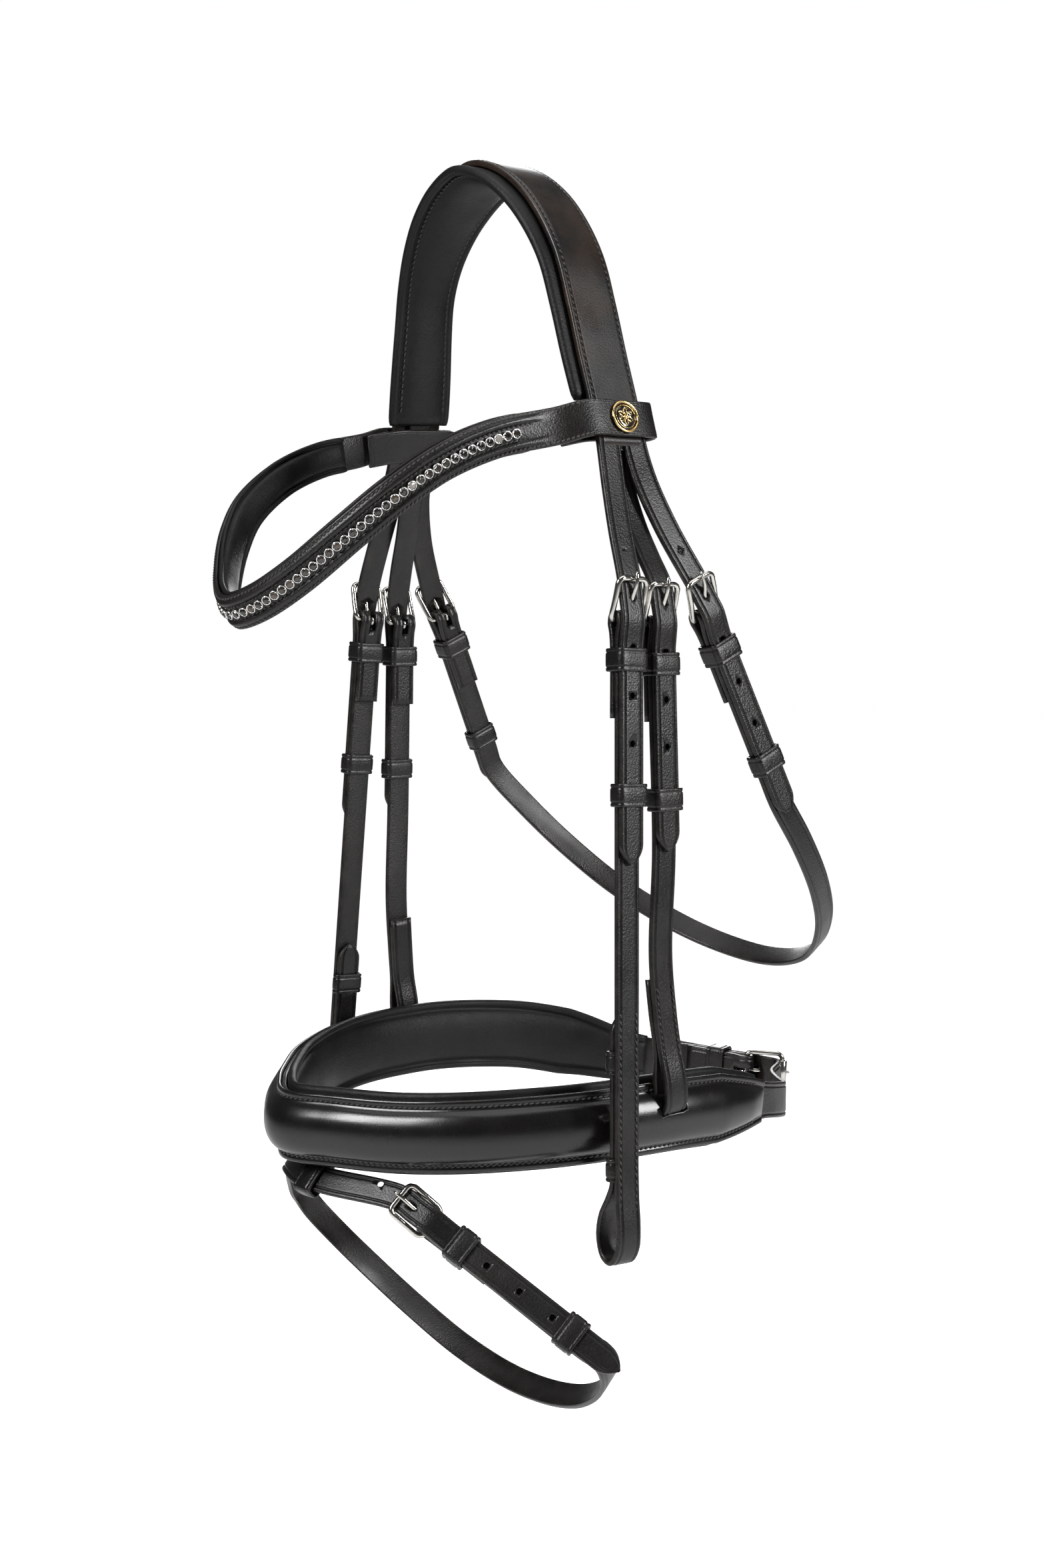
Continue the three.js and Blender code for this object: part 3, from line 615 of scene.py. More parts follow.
def tonguePoints(line, length, lift):
    wire, tongueWire = sizes["wire"], sizes["tongueWire"]
    ringRadius = wire + gap + tongueWire
    rest = lift + wire + gap + tongueWire
    bend = [(-1.2, -ringRadius), (1.6, -ringRadius * 0.83), (ringRadius, 0), (1.6, ringRadius * 0.85),
            (-2, ringRadius + 0.25), (-length * 0.5, rest * 0.56), (-length * 0.85, rest * 0.93),
            (-length - 1.5, rest + 0.05), (-length - 3, rest - 0.5)]
    return [line["at"](s, n) for s, n in bend]


def tongueShape(line, length, lift):
    def taper(t):
        blunt = math.sqrt(max(1 - ((t - 0.5) / 0.505) ** 24, 0.05))
        return (1.0 - 0.28 * max(0, t - 0.6) / 0.4) * blunt

    return wireShape(tonguePoints(line, length, lift), sizes["tongueWire"], sides=10, step=0.8, taper=taper)


def tongueRoom(line, length, lift):
    return wireShape(tonguePoints(line, length, lift)[4:7], sizes["tongueWire"] + 0.55, sides=8, step=3)


keeperLook = dict(corner=1.1, creaseFromEdge=1.8, creaseDepth=0.32, edge=0.5)


def keeperShape(line, s0, low, high, halfWidth=strapWidth / 2, length=sizes["keeperLength"]):
    a0, wall, rc = halfWidth + 0.4, sizes["keeperWall"], keeperLook["corner"]
    bottom, top = low - gap, high + gap
    path = []
    for quarter, (sa, sn) in enumerate(((1, 1), (-1, 1), (-1, -1), (1, -1))):
        centre = (sa * (a0 - rc), (top - rc) if sn > 0 else (bottom + rc))
        for angle in np.radians(np.linspace(0, 90, 6)) + quarter * math.pi / 2:
            normal = (math.cos(angle), math.sin(angle))
            path.append((centre[0] + rc * normal[0], centre[1] + rc * normal[1], normal))
        start = path[-1]
        nextQuarter = (quarter + 1) % 4
        nsa, nsn = ((1, 1), (-1, 1), (-1, -1), (1, -1))[nextQuarter]
        turned = (quarter + 1) * math.pi / 2
        normal = (math.cos(turned), math.sin(turned))
        end = (nsa * (a0 - rc) + rc * normal[0],
               ((top - rc) if nsn > 0 else (bottom + rc)) + rc * normal[1])
        for share in (0.25, 0.5, 0.75):
            path.append((start[0] + (end[0] - start[0]) * share, start[1] + (end[1] - start[1]) * share,
                         normal))
    h, e, c, d = length / 2, keeperLook["edge"], keeperLook["creaseFromEdge"], keeperLook["creaseDepth"]
    half = [(h, 0.0), (h, wall - e), (h - 0.3 * e, wall - 0.3 * e), (h - e, wall), (h - c + 0.5, wall),
            (h - c, wall - d), (h - c - 0.5, wall + 0.06), (h - c - 1.0, wall + 0.12)]
    section = [(-x, t) for x, t in half] + [(0, wall + 0.14)] + [(x, t) for x, t in reversed(half)]
    edge = np.array([0.3, 1, 1, 0.5] + [0] * 9 + [0.5, 1, 1, 0.3])
    rings = np.array([[line["at"](s0 + x, n + t * normal[1], a + t * normal[0]) for x, t in section]
                      for a, n, normal in path])
    return ringsToMesh(rings, edge=edge, loop=True)


# Stitches along a laid route: small slanted threads that sit in the seam.
stitchLook = dict(pitch=3.0, length=2.2, thick=1.0, high=0.85, slant=0.25)


def stitchRow(laid, a, n, start=0.0, end=None, pitch=None):
    pitch = pitch or stitchLook["pitch"]
    end = laid["length"] if end is None else end
    s = np.arange(start + pitch / 2, end - pitch / 3, pitch)
    pick = lambda values: np.stack([np.interp(s, laid["s"], values[:, k]) for k in range(3)], 1)
    middle = pick(laid["middle"])
    along, side, out = [unit(pick(laid[key])) for key in ("along", "side", "out")]
    spread = lambda value: np.interp(s, laid["s"],
                                     np.broadcast_to(np.asarray(value, float), laid["s"].shape))
    a, n = spread(a), spread(n)
    return stitchesAt(middle + side * a[:, None] + out * n[:, None], along, side, out)


def stitchesAt(centres, along, side, out):
    look = stitchLook
    angles = np.linspace(0, 2 * math.pi, 6, endpoint=False)
    along = unit(along + side * look["slant"])
    faces = []
    stations = ((-0.5, 0.25, -0.8), (-0.3, 0.9, 0.1), (0.0, 1.0, 0.3), (0.3, 0.9, 0.1), (0.5, 0.25, -0.8))
    rings = []
    for x, r, lift in stations:
        ring = [centres + along * (x * look["length"]) + side * (r * look["thick"] / 2 * math.cos(t))
                + out * (r * look["high"] / 2 * math.sin(t) + lift * look["high"] / 2) for t in angles]
        rings.append(np.stack(ring, 1))
    rings = np.stack(rings, 1)
    one = ringsToMesh(rings[0])["faces"]
    per = rings.shape[1] * rings.shape[2]
    for i in range(len(rings)):
        faces += [tuple(i * per + k for k in face) for face in one]
    return plainShape(rings.reshape(-1, 3), faces)


# The short reach keeps the punch out of the layer under a billet.
def punchAt(line, s, height=billetOut, reach=4, radius=sizes["holeRadius"]):
    return latheShape([(0.01, -reach), (radius, -reach), (radius, 4), (0.01, 4)], line, s, height, sides=16)


def holeShapes(line, counts):
    return [punchAt(line, (count - 0.42) * sizes["holePitch"], reach=1.5 if count > 0 else 4)
            for count in counts]


def boxShape(line, s, n, a, size):
    corners = [line["at"](s + x * size[0] / 2, n + y * size[1] / 2, a + z * size[2] / 2)
               for x in (-1, 1) for y in (-1, 1) for z in (-1, 1)]
    faces = [(0, 1, 3, 2), (4, 6, 7, 5), (0, 4, 5, 1), (2, 3, 7, 6), (0, 2, 6, 4), (1, 5, 7, 3)]
    return plainShape(corners, faces)


def chapeSlot(line):
    return boxShape(line, 0, 0, 0, (11, 12, 2 * sizes["tongueWire"] + 1.6))


def chapeRoute(line, foldLength):
    ring = sizes["wire"] + gap + leather / 2 + 0.25
    route = [(foldLength, -layerOut), (12, -layerOut), (5, -layerOut - 0.6), (1, -ring),
             (-ring * 0.72, -ring * 0.72),
             (-ring, 0), (-ring * 0.72, ring * 0.72), (1, ring), (5, layerOut + 0.6), (10, layerOut)]
    return [line["at"](s, n) for s, n in route]


def billetRoute(line, end, lift=sizes["frameLift"]):
    length = sizes["frameLength"]
    low = lift - sizes["wire"] - gap - leather / 2
    over = sizes["wire"] + 2 * gap + 1.5 * leather + 0.3
    route = [(-length, low), (-length / 2, (low + over) / 2 + 0.1), (-0.5, over), (5, billetOut + 0.9),
             (10, billetOut + 0.15), (16, billetOut), (end * 0.6, billetOut), (end, billetOut)]
    return [line["at"](s, n) for s, n in route]


plainStrap = strapSection()
half = leather / 2
frameHalf = strapWidth / 2 + 0.2 + sizes["wire"]
chinHalf = sizes["chinWidth"] / 2 + 0.5 + sizes["wire"]
chapeLow = -layerOut - half
billetHigh = billetOut + half


def plainSweep(laid):
    return sweepStrap(laid, strapWidth, -half, half, plainStrap)


# Room for the tongue and the punched holes of a billet.
def billetCuts(line, counts, lift=sizes["frameLift"]):
    return [tongueRoom(line, sizes["frameLength"], lift), *holeShapes(line, counts)]


def edgeRows(laid, inset, *limits):
    return [stitchRow(laid, side * (strapWidth / 2 - inset), half - 0.05, *limits) for side in (-1, 1)]

# Crown
crown = dict(
    half=[(20, 0.6, 4.8), (37, 1.6, -6), (50, 3, -20), (60.5, 4.8, -38), (67.5, 6.3, -60), (73.5, 7.6, -82),
          (80, 9.2, -105), (85.3, 9.6, -123)],
    stitchInset=2.3, slipheadLeather=2.4, padDepth=3.9, rim=2.3,
)
crownHalf = vecs(crown["half"])
crownRoute = crownHalf[::-1] + [vec(0, 0, 10)] + flipX(crownHalf)
forward = vec(0, -1, 0)
crownLaid = layRoute(crownRoute, forward, step=2.6)


def makeCrown():
    half = sizes["crownLeather"] / 2
    ends = np.minimum(crownLaid["s"], crownLaid["length"] - crownLaid["s"])
    thin = 0.2 * np.clip(1 - ends / 9, 0, 1)
    section = strapSection(edge=0.9, crease=crown["stitchInset"], depth=0.45, crown=0.2)
    trunk = sweepStrap(crownLaid, sizes["crownWidth"], -half + thin, half - thin, section)
    shoulders = [vec(82.2, 2.6, -112), vec(85.6, 2.1, -124), vec(91.2, 0.6, -142), vec(98.6, -1.4, -162)]
    billetLaid = layRoute(shoulders + billetRoute(cheekLine, 105), cheekLine["side"], tip=9)
    billet = plainSweep(billetLaid)
    cutters = billetCuts(cheekLine, (-2.1, -1.1, 1, 2, 3))
    place("crownStrap", trunk, crownHide, "headpiece", ["crown_strap"])
    place("cheekBillet", billet, bridleLeather, "headpiece", pair=True, cutters=cutters)
    inset = sizes["crownWidth"] / 2 - crown["stitchInset"]
    rows = [stitchRow(crownLaid, side * inset, half - 0.2, 7, crownLaid["length"] - 7) for side in (-1, 1)]
    place("crownStitching", joinShapes(rows), thread, "headpiece")


def makeSliphead():
    top = -sizes["crownLeather"] / 2 - gap
    shape = sweepStrap(crownLaid, strapWidth, top - crown["slipheadLeather"], top, strapSection(edge=0.8))
    place("nosebandSliphead", shape, bridleLeather, "headpiece", ["noseband_sliphead"])


padShape = dict(points=19, seam=0.5, power=2.4)


# A padded section: flat back, a rounded rim at each edge and a crowned pad between the seams.
def padSection(width, back, flange, depth, rim, rimOut, channel=None):
    count = len(width)
    w = width[:, None] / 2
    arc = np.radians(np.linspace(90, -120, 9))
    depth = np.broadcast_to(np.asarray(depth, float), (count,))[:, None]
    leftA = -(w + rimOut) - rim * np.cos(arc)[None]
    rimTop = channel["top"] if channel else back
    leftN = np.broadcast_to((rimTop - rim + rim * np.sin(arc))[None], leftA.shape)
    v = np.linspace(-1, 1, padShape["points"])[None]
    inner = w + rimOut - rim * 1.0
    padA = v * inner
    padN = (back - flange - depth * (1 - np.abs(v) ** padShape["power"]) ** 0.6
            + padShape["seam"] * np.exp(-((np.abs(v) - 1) * inner / 0.9) ** 2))
    rows = [(leftA, leftN), (padA, padN), (-leftA[:, ::-1], leftN[:, ::-1])]
    if channel:  # room along the back for a strap that lies between the pad and the leather
        inner = channel["half"]
        rows.append((np.tile([inner + 0.2, inner, -inner, -inner - 0.2], (count, 1)),
                     np.tile([rimTop, back, back, rimTop], (count, 1))))
    return np.concatenate([a for a, _ in rows], 1), np.concatenate([n for _, n in rows], 1)


def sweepRows(laid, a, n, edge=None, flesh=None, shift=0.0):
    shift = np.broadcast_to(np.asarray(shift, float), laid["s"].shape)[:, None]
    rings = laid["middle"][:, None] + laid["side"][:, None] * (a + shift)[..., None] + laid["out"][:,
            None] * n[..., None]
    return ringsToMesh(rings, edge, flesh)


# Rounds off the ends of a pad by drawing the last few stations in.
def endShare(laid, reach):
    ends = np.minimum(laid["s"], laid["length"] - laid["s"])
    return np.sqrt(np.clip(1 - (1 - np.clip(ends / reach, 0, 1)) ** 2, 0.02, 1))


def makeCrownLining():
    last = len(crownRoute) - 1
    laid = layRoute(crownRoute, forward, span=(1.17, last - 1.17), step=2.0)
    fromPoll = np.abs(laid["s"] / laid["length"] - 0.5) * 2
    ears = np.exp(-(((fromPoll - 0.55) / 0.3) ** 2))
    width = 42 - 9 * fromPoll**1.5 - 8 * ears - 2.4
    shift = 2.5 * ears + 1
    back = -sizes["crownLeather"] / 2 - gap - crown["slipheadLeather"] - gap
    share = endShare(laid, 5)
    top = -sizes["crownLeather"] / 2 - gap
    channel = dict(top=top, half=strapWidth / 2 + gap)
    a, n = padSection(width * (0.95 + 0.05 * share), back, 1.3,
                      crown["padDepth"] * share, crown["rim"], 0.1, channel=channel)
    n = back + (n - back) * (0.6 + 0.4 * share[:, None])
    piece = place("crownLining", sweepRows(laid, a, n, shift=shift), liningHide, "headpiece",
                  ["crown_lining"])[0]
    inset = width / 2 - crown["rim"] - 0.6
    rows = [stitchRow(laid, side * inset + shift, back - 1.9, 5, laid["length"] - 5) for side in (-1, 1)]
    place("crownLiningStitching", joinShapes(rows), thread, "headpiece")


makeCrown()
makeSliphead()
makeCrownLining()
print("crown made")

# Browband
brow = dict(
    half=[(15.5, -132.5, -191.5), (33, -123.5, -180.5), (51.5, -109.7, -163), (63.8, -95, -147.5),
          (70.5, -74, -132.5), (75, -50, -122), (80, -22, -115.5)],
    tilt=[(-0.08, -0.56, 0.8), (-0.16, -0.64, 0.75), (-0.04, -0.7, 0.7), (0.1, -0.58, 0.81),
          (0.14, -0.5, 0.85), (0.02, -0.3, 0.95), (-0.2, -0.12, 0.96)],
    loop=[(85.2, -7, -111.3), (85.6, 9.5, -111), (85.4, 23, -110.8), (83.6, 27.6, -110.8),
          (79.8, 29.2, -111.2), (76.2, 27.4, -111.8), (75, 22, -112), (74.7, 9.5, -112.4),
          (74.8, -4, -113.2), (77.2, -20, -116.3)],
    width=16.5, leather=2.4, layerGap=0.55, ridge=1.25, channel=3.0, stonePitch=4.42,
)
loopAcross = (-0.28, -0.03, 0.96)
browRight = vecs(brow["half"] + brow["loop"])
acrossRight = vecs(brow["tilt"]) + [vec(*loopAcross) for _ in brow["loop"]]
browRoute = flipX(browRight)[::-1] + [vec(0, -136.5, -195.5)] + browRight
browAcross = flipX(acrossRight)[::-1] + [vec(0, -0.5, 0.87)] + acrossRight
browSpan = (len(brow["loop"]) + 1, len(browRoute) - 2 - len(brow["loop"]))
crystalSpan = (browSpan[0] - 0.42, browSpan[1] + 0.42)


# Edge of the band, a stitched groove, a padded ridge, a second groove and the channel for the stones.
def browSection(ridge, width):
    w = width / 2
    e = 0.9
    left = [(-w + e, 0, 0), (-w + 0.3 * e, 0, 0.3 * e), (-w, 0, e), (-w, 1, -e),
            (-w + 0.3 * e, 1, -0.3 * e), (-w + e, 1, 0),
            (-w + 1.15, 1, -0.24), (-w + 1.5, 1, 0.05)]
    ridgeA = np.linspace(-w + 1.7, -brow["channel"] - 0.45, 7)
    rise = np.sin(np.linspace(0.12, math.pi - 0.12, 7)) ** 0.75
    count = len(ridge)
    a, n = [], []
    low, high = -brow["leather"] / 2, brow["leather"] / 2
    for x, layer, dn in left:
        a.append(np.full(count, x))
        n.append(np.full(count, (high if layer else low) + dn))
    for x, r in zip(ridgeA, rise):
        a.append(np.full(count, x))
        n.append(high + ridge * r)
    a.append(np.full(count, -brow["channel"]))
    n.append(high - 0.2 * np.clip(ridge, 0, 1))
    a.append(np.full(count, -brow["channel"] + 0.5))
    n.append(np.full(count, high))
    a, n = np.stack(a, 1), np.stack(n, 1)
    zero = np.zeros((count, 1))
    return (np.concatenate([a, zero, -a[:, ::-1], zero], 1),
            np.concatenate([n, np.full((count, 1), high), n[:, ::-1], np.full((count, 1), low)], 1))


def makeBrowband():
    laid = layRoute(browRoute, browAcross, step=2.6, turn=7)
    inward = np.minimum(laid["mark"] - (browSpan[0] - 0.9), browSpan[1] + 0.9 - laid["mark"])
    ridge = brow["ridge"] * np.clip(inward / 0.7, 0, 1)
    a, n = browSection(ridge, brow["width"])
    edge = np.zeros(a.shape[1])
    edge[[1, 2, 3, 4]] = 1
    edge[-6:-1] = 1
    flesh = np.zeros(a.shape[1])
    flesh[-1] = 1
    place("browbandLeather", sweepRows(laid, a, n, edge, flesh), bridleLeather, "headpiece", ["browband"])
    high = brow["leather"] / 2
    first, last = [laid["s"][np.argmin(np.abs(laid["mark"] - m))]
                   for m in (browSpan[0] - 3.0, browSpan[1] + 3.0)]
    outer = [stitchRow(laid, side * (brow["width"] / 2 - 1.2), high - 0.05, first, last, 2.3)
             for side in (-1, 1)]
    first, last = [laid["s"][np.argmin(np.abs(laid["mark"] - m))]
                   for m in (browSpan[0] - 0.6, browSpan[1] + 0.6)]
    inner = [stitchRow(laid, side * brow["channel"], high - 0.05, first, last, 2.3) for side in (-1, 1)]
    place("browbandStitching", joinShapes(outer + inner), thread, "headpiece")


def makeBrowbandLining():
    laid = layRoute(browRoute, browAcross, span=(browSpan[0] - 0.5, browSpan[1] + 0.5), step=2.2, turn=7)
    back = -brow["leather"] / 2 - brow["layerGap"]
    share = endShare(laid, 4)
    width = (brow["width"] - 2.2) * (0.95 + 0.05 * share)
    a, n = padSection(width, back, 0.9, 2.7 * share, 1.1, 0.35)
    n = back + (n - back) * (0.5 + 0.5 * share[:, None])
    piece = place("browbandLining", sweepRows(laid, a, n), liningHide, "headpiece", ["browband_lining"])[0]


# Silver cups in a chain, each with a cut stone.
def makeCrystals():
    laid = layRoute(browRoute, browAcross, span=crystalSpan, step=1.0, turn=5)
    count = int(laid["length"] / brow["stonePitch"])
    start = (laid["length"] - (count - 1) * brow["stonePitch"]) / 2
    s = start + np.arange(count) * brow["stonePitch"]
    pick = lambda values: np.stack([np.interp(s, laid["s"], values[:, k]) for k in range(3)], 1)
    middle, along, side, out = [pick(laid[key]) for key in ("middle", "along", "side", "out")]
    base = brow["leather"] / 2 + 0.12
    cup = [(1.2, base), (2.0, base), (2.16, base + 0.9), (2.14, base + 1.55), (1.92, base + 1.7),
           (1.6, base + 1.45),
           (1.55, base + 0.6), (1.2, base + 0.55)]
    cups, stones, bridges = [], [], []
    random = np.random.default_rng(7)
    tones = random.choice([0.0, 0.12, 0.4, 0.75], size=count, p=[0.5, 0.25, 0.15, 0.1])
    for i in range(count):
        spin = random.uniform(0, math.pi)
        at = lambda r, t, h: (middle[i] + out[i] * h
                              + r * (math.cos(t) * unit(along[i]) + math.sin(t) * unit(side[i])))
        turn = np.linspace(0, 2 * math.pi, 14, endpoint=False)
        cups.append(ringsToMesh(np.array([[at(r, t, h) for r, h in cup] for t in turn]), loop=True))
        for k in range(4):
            t = spin + k * math.pi / 2
            prong = [at(2.02, t, base + 1.2), at(1.95, t, base + 1.75), at(1.5, t, base + 1.98)]
            cups.append(wireShape(prong, 0.24, sides=5, step=0.5))
        if i:
            previous = middle[i - 1] + out[i - 1] * (base + 0.5)
            bridges.append(wireShape([previous, (previous + middle[i] + out[i] * (base + 0.5)) / 2,
                                      middle[i] + out[i] * (base + 0.5)], 0.34, sides=6, step=2))
        facets = [(1.62, base + 1.3), (1.62, base + 1.42), (1.28, base + 1.95), (0.78, base + 2.25)]
        eight = np.linspace(0, 2 * math.pi, 8, endpoint=False) + spin
        ringsOf = np.array([[at(r, t + (0.39 if k == 3 else 0), h) for t in eight]
                            for k, (r, h) in enumerate(facets)])
        gem = ringsToMesh(ringsOf)
        gem["marks"]["edge"] = np.full(len(gem["places"]), tones[i])
        stones.append(gem)
    place("crystalCups", joinShapes(cups + bridges), cupSilver, "headpiece", ["crystal_row"])
    place("crystalStones", joinShapes(stones), stone, "headpiece", smooth=False)


badge = dict(radius=6.7, rim=0.62, petals=6)


def makeBadge():
    out = unit(vec(0.96, 0, 0.27))
    line = straightLine(vec(*brow["loop"][1]) + out * (brow["leather"] / 2), (0.27, 0, -0.96), (0, 1, 0))
    line["out"] = out
    line["at"] = lambda s, n, a=0.0: line["origin"] + line["along"] * s + out * n + line["side"] * a
    r = badge["radius"]
    disc = [(0.01, 0.1), (r - 0.3, 0.1), (r - 0.1, 0.5), (r - 0.2, 1.25), (0.01, 1.4)]
    place("badgeFace", latheShape(disc, line, 0, 0, sides=48), enamel, "headpiece", ["badge"])
    ring = [line["at"](r * math.cos(t), 1.35, r * math.sin(t))
            for t in np.linspace(0, 2 * math.pi, 48, endpoint=False)]
    inner = [line["at"]((r - 1.5) * math.cos(t), 1.42, (r - 1.5) * math.sin(t))
             for t in np.linspace(0, 2 * math.pi, 48, endpoint=False)]
    motif = [wireShape(ring, badge["rim"], sides=10, closed=True),
             wireShape(inner, 0.16, sides=8, closed=True)]
    for k in range(badge["petals"]):
        t = k * 2 * math.pi / badge["petals"]
        petal = [(0.7, 0), (1.8, 0.85), (3.1, 0.8), (4.1, 0.0), (3.1, -0.8), (1.8, -0.85)]
        points = [line["at"](x * math.cos(t) - y * math.sin(t), 1.5, x * math.sin(t) + y * math.cos(t))
                  for x, y in petal]
        motif.append(wireShape(points, 0.26, sides=8, closed=True))
    motif.append(latheShape([(0.01, 1.3), (0.85, 1.3), (0.8, 1.75), (0.01, 2.0)], line, 0, 0, sides=16))
    place("badgeMotif", joinShapes(motif), gilt, "headpiece")


makeBrowband()
makeBrowbandLining()
makeCrystals()
makeBadge()
print("browband made")


# Buckles, their tongues and keepers

def makeBuckle(name, line, body, halfWidth=frameHalf, lift=sizes["frameLift"], tongueLift=None, pair=True,
               strapHalf=strapWidth / 2, nodes=None, tongueBody=None):
    length = sizes["frameLength"]
    tag = "_{side}" if pair else ""
    nodes = nodes or name
    place(name + "BuckleFrame", frameShape(line, halfWidth, length, lift), nickel, body,
          [f"{nodes}_buckle_frame" + tag], pair=pair)
    place(name + "BuckleTongue", tongueShape(line, length, tongueLift or lift), nickel,
          tongueBody or f"{nodes}_tongue" + tag,
          [f"{nodes}_buckle_tongue" + tag], pair=pair)
    place(name + "Keeper", keeperShape(line, 17, chapeLow, billetHigh, strapHalf), bridleLeather, body,
          [f"{nodes}_keeper" + tag], pair=pair)


runners = dict(cheek=75, hanger=76, throat=72)
bodies = dict(cheek="headpiece", hanger="noseband_ring", throat="throatlatch_loop")
lines = dict(cheek=cheekLine, hanger=hangerLine, throat=throatLine)
for name, line in lines.items():
    makeBuckle(name, line, bodies[name])
    place(name + "Runner", keeperShape(line, runners[name], gap, billetHigh), bridleLeather,
          name + "_runner_{side}_body",
          [name + "_runner_{side}"], pair=True)
makeBuckle("flash", flashLine, "flash_loop", pair=False)
place("flashRunner", keeperShape(flashLine, 77, gap, billetHigh), bridleLeather, "flash_runner_body",
      ["flash_runner"])
makeBuckle("chin", chinLine, "noseband_ring", halfWidth=chinHalf, lift=sizes["chinLift"],
           tongueLift=sizes["chinLift"] + 1.3, pair=False, strapHalf=sizes["chinWidth"] / 2)
rollerProfile = [(1.75, -7), (2.5, -7), (2.7, -6.8), (2.7, 6.8), (2.5, 7), (1.75, 7)]
place("chinRoller", latheShape(rollerProfile, chinLine, -sizes["frameLength"], sizes["chinLift"],
                               axis="side", sides=28),
      nickel, "roller", ["chin_roller"])
print("buckles made")

# Cheekpieces
cheek = dict(
    loop=[(236, 1.6), (250, 2.1), (261, 3), (269.5, 2.4), (275, -0.8), (276.4, -4.2), (274, -8.6),
          (266, -11.2), (257, -9.6), (249, -4.8), (243, -1.9), (236, -1.6)],
    keepers=(190, 236), studAt=214, stitchInset=1.9,
)


def makeCheekpiece():
    at = cheekLine["at"]
    route = (chapeRoute(cheekLine, 42) + [at(s, layerOut) for s in (40, 80, 160, 215)]
             + [at(s, n) for s, n in cheek["loop"]] + [at(s, -layerOut) for s in (200, 169)])
    laid = layRoute(route, cheekLine["side"], tip=8)
    shape = plainSweep(laid)
    stud = latheShape([(0.01, -4), (2.3, -4), (2.3, 4), (0.01, 4)], cheekLine, cheek["studAt"],
                      -layerOut - 1.6, sides=16)
    place("cheekpiece", shape, bridleLeather, "headpiece", ["cheekpiece_{side}"], pair=True,
          cutters=[chapeSlot(cheekLine), stud])
    for key, s in zip(("Upper", "Lower"), cheek["keepers"]):
        place("bitKeeper" + key, keeperShape(cheekLine, s, chapeLow, -gap), bridleLeather, "headpiece",
              [f"bit_keeper_{key.lower()}_{{side}}"], pair=True)
    profile = [(0.01, -0.2), (1.7, -0.2), (1.7, -3.2), (3.2, -3.5), (3.4, -3.9), (3.0, -4.7), (2, -5.4),
               (0.01, -5.6)]
    place("hookStud", latheShape(profile, cheekLine, cheek["studAt"], 0), nickel, "headpiece",
          ["cheek_hook_stud_{side}"], pair=True)
    # stitching of the fold at the buckle and of the lined part above the bit loop
    foldLaid = layRoute([at(s, layerOut) for s in (24, 32, 44)], cheekLine["side"])
    lowerLaid = layRoute([at(s, layerOut) for s in (168, 215, 236, 258)], cheekLine["side"])
    rows = edgeRows(foldLaid, cheek["stitchInset"]) + edgeRows(lowerLaid, cheek["stitchInset"])
    place("cheekStitching", joinShapes(rows), thread, "headpiece", pair=True)


makeCheekpiece()
print("cheekpieces made")

# Throatlatch
throat = dict(round=[(107.6, 99.5, -301.5), (97, 121.5, -325), (79, 142.5, -347), (45, 165, -368)],
              bottom=(0, 175, -376.5))


def makeThroatlatch():
    down = [throatLine["at"](s, layerOut) for s in (40, 80, 91)]
    halfRoute = chapeRoute(throatLine, 40) + down + vecs(throat["round"])
    sideways = vec(0, 0.81, 0.59)
    ease = lambda i: (lambda t: t * t * (3 - 2 * t))(min(max((i - 11) / 4, 0), 1))
    lean = [throatLine["side"] * (1 - ease(i)) + sideways * ease(i) for i in range(len(halfRoute))]
    route = halfRoute + [vec(*throat["bottom"])] + flipX(halfRoute)[::-1]
    across = lean + [sideways] + flipX(lean)[::-1]
    laid = layRoute(route, across)
    shape = plainSweep(laid)
    slot = chapeSlot(throatLine)
    otherSlot = dict(slot, places=slot["places"] * np.array([-1, 1, 1]))
    place("throatlatchStrap", shape, bridleLeather, "throatlatch_loop", ["throatlatch"],
          cutters=[slot, otherSlot])
    top = [vec(83.1, 16.6, -116.5), vec(87.3, 17.4, -129.2), vec(91.5, 18.8, -140), vec(98.8, 25, -160)]
    laid = layRoute(top + billetRoute(throatLine, 99), throatLine["side"], tip=9)
    shape = plainSweep(laid)
    cutters = billetCuts(throatLine, (-1.1, 1, 2, 3))
    place("throatBillet", shape, bridleLeather, "throatlatch_loop", ["throat_billet_{side}"], pair=True,
          cutters=cutters)
    foldLaid = layRoute([throatLine["at"](s, layerOut) for s in (24, 32, 42)], throatLine["side"])
    rows = edgeRows(foldLaid, cheek["stitchInset"])
    place("throatStitching", joinShapes(rows), thread, "throatlatch_loop", pair=True)


makeThroatlatch()
print("throatlatch made")

# Noseband
nose = dict(
    ring=[(22, -101.5, -424), (46, -85, -424), (68, -65.5, -422.5), (88, -37, -420.5), (97.5, -13, -419.5),
          (101.5, 12, -419.2), (102.5, 34, -419.5), (100.5, 60, -421.2), (93.5, 86, -424)],
    chin=[(80, 113, -430), (61, 134, -436)], chinRear=[(38, 151, -440), (22, 162.5, -441)],
    front=(0, -111, -424.5),
    leather=2.4, margin=4.3, rollHigh=6.4, liningDepth=4.8, rim=2.0,
)
ringPoints = vecs(nose["ring"])
chinPoints = vecs(nose["chin"])
nosebandRoute = (chapeRoute(chinLine, 34) + [chinLine["at"](30, layerOut)]
                 + flipX(ringPoints + chinPoints)[::-1]
                 + [vec(*nose["front"])] + ringPoints + chinPoints + vecs(nose["chinRear"])
                 + billetRoute(chinLine, 62, sizes["frameLift"] - 0.2))
ringStart = 10 + 1 + len(chinPoints)
padSpan = (10.75, ringStart + 2 * len(ringPoints))  # further round on the right, to the chin buckle's fold


def padEnds(laid):
    return np.minimum(1, 0.42 + np.minimum(laid["s"] / 80, (laid["length"] - laid["s"]) / 60))


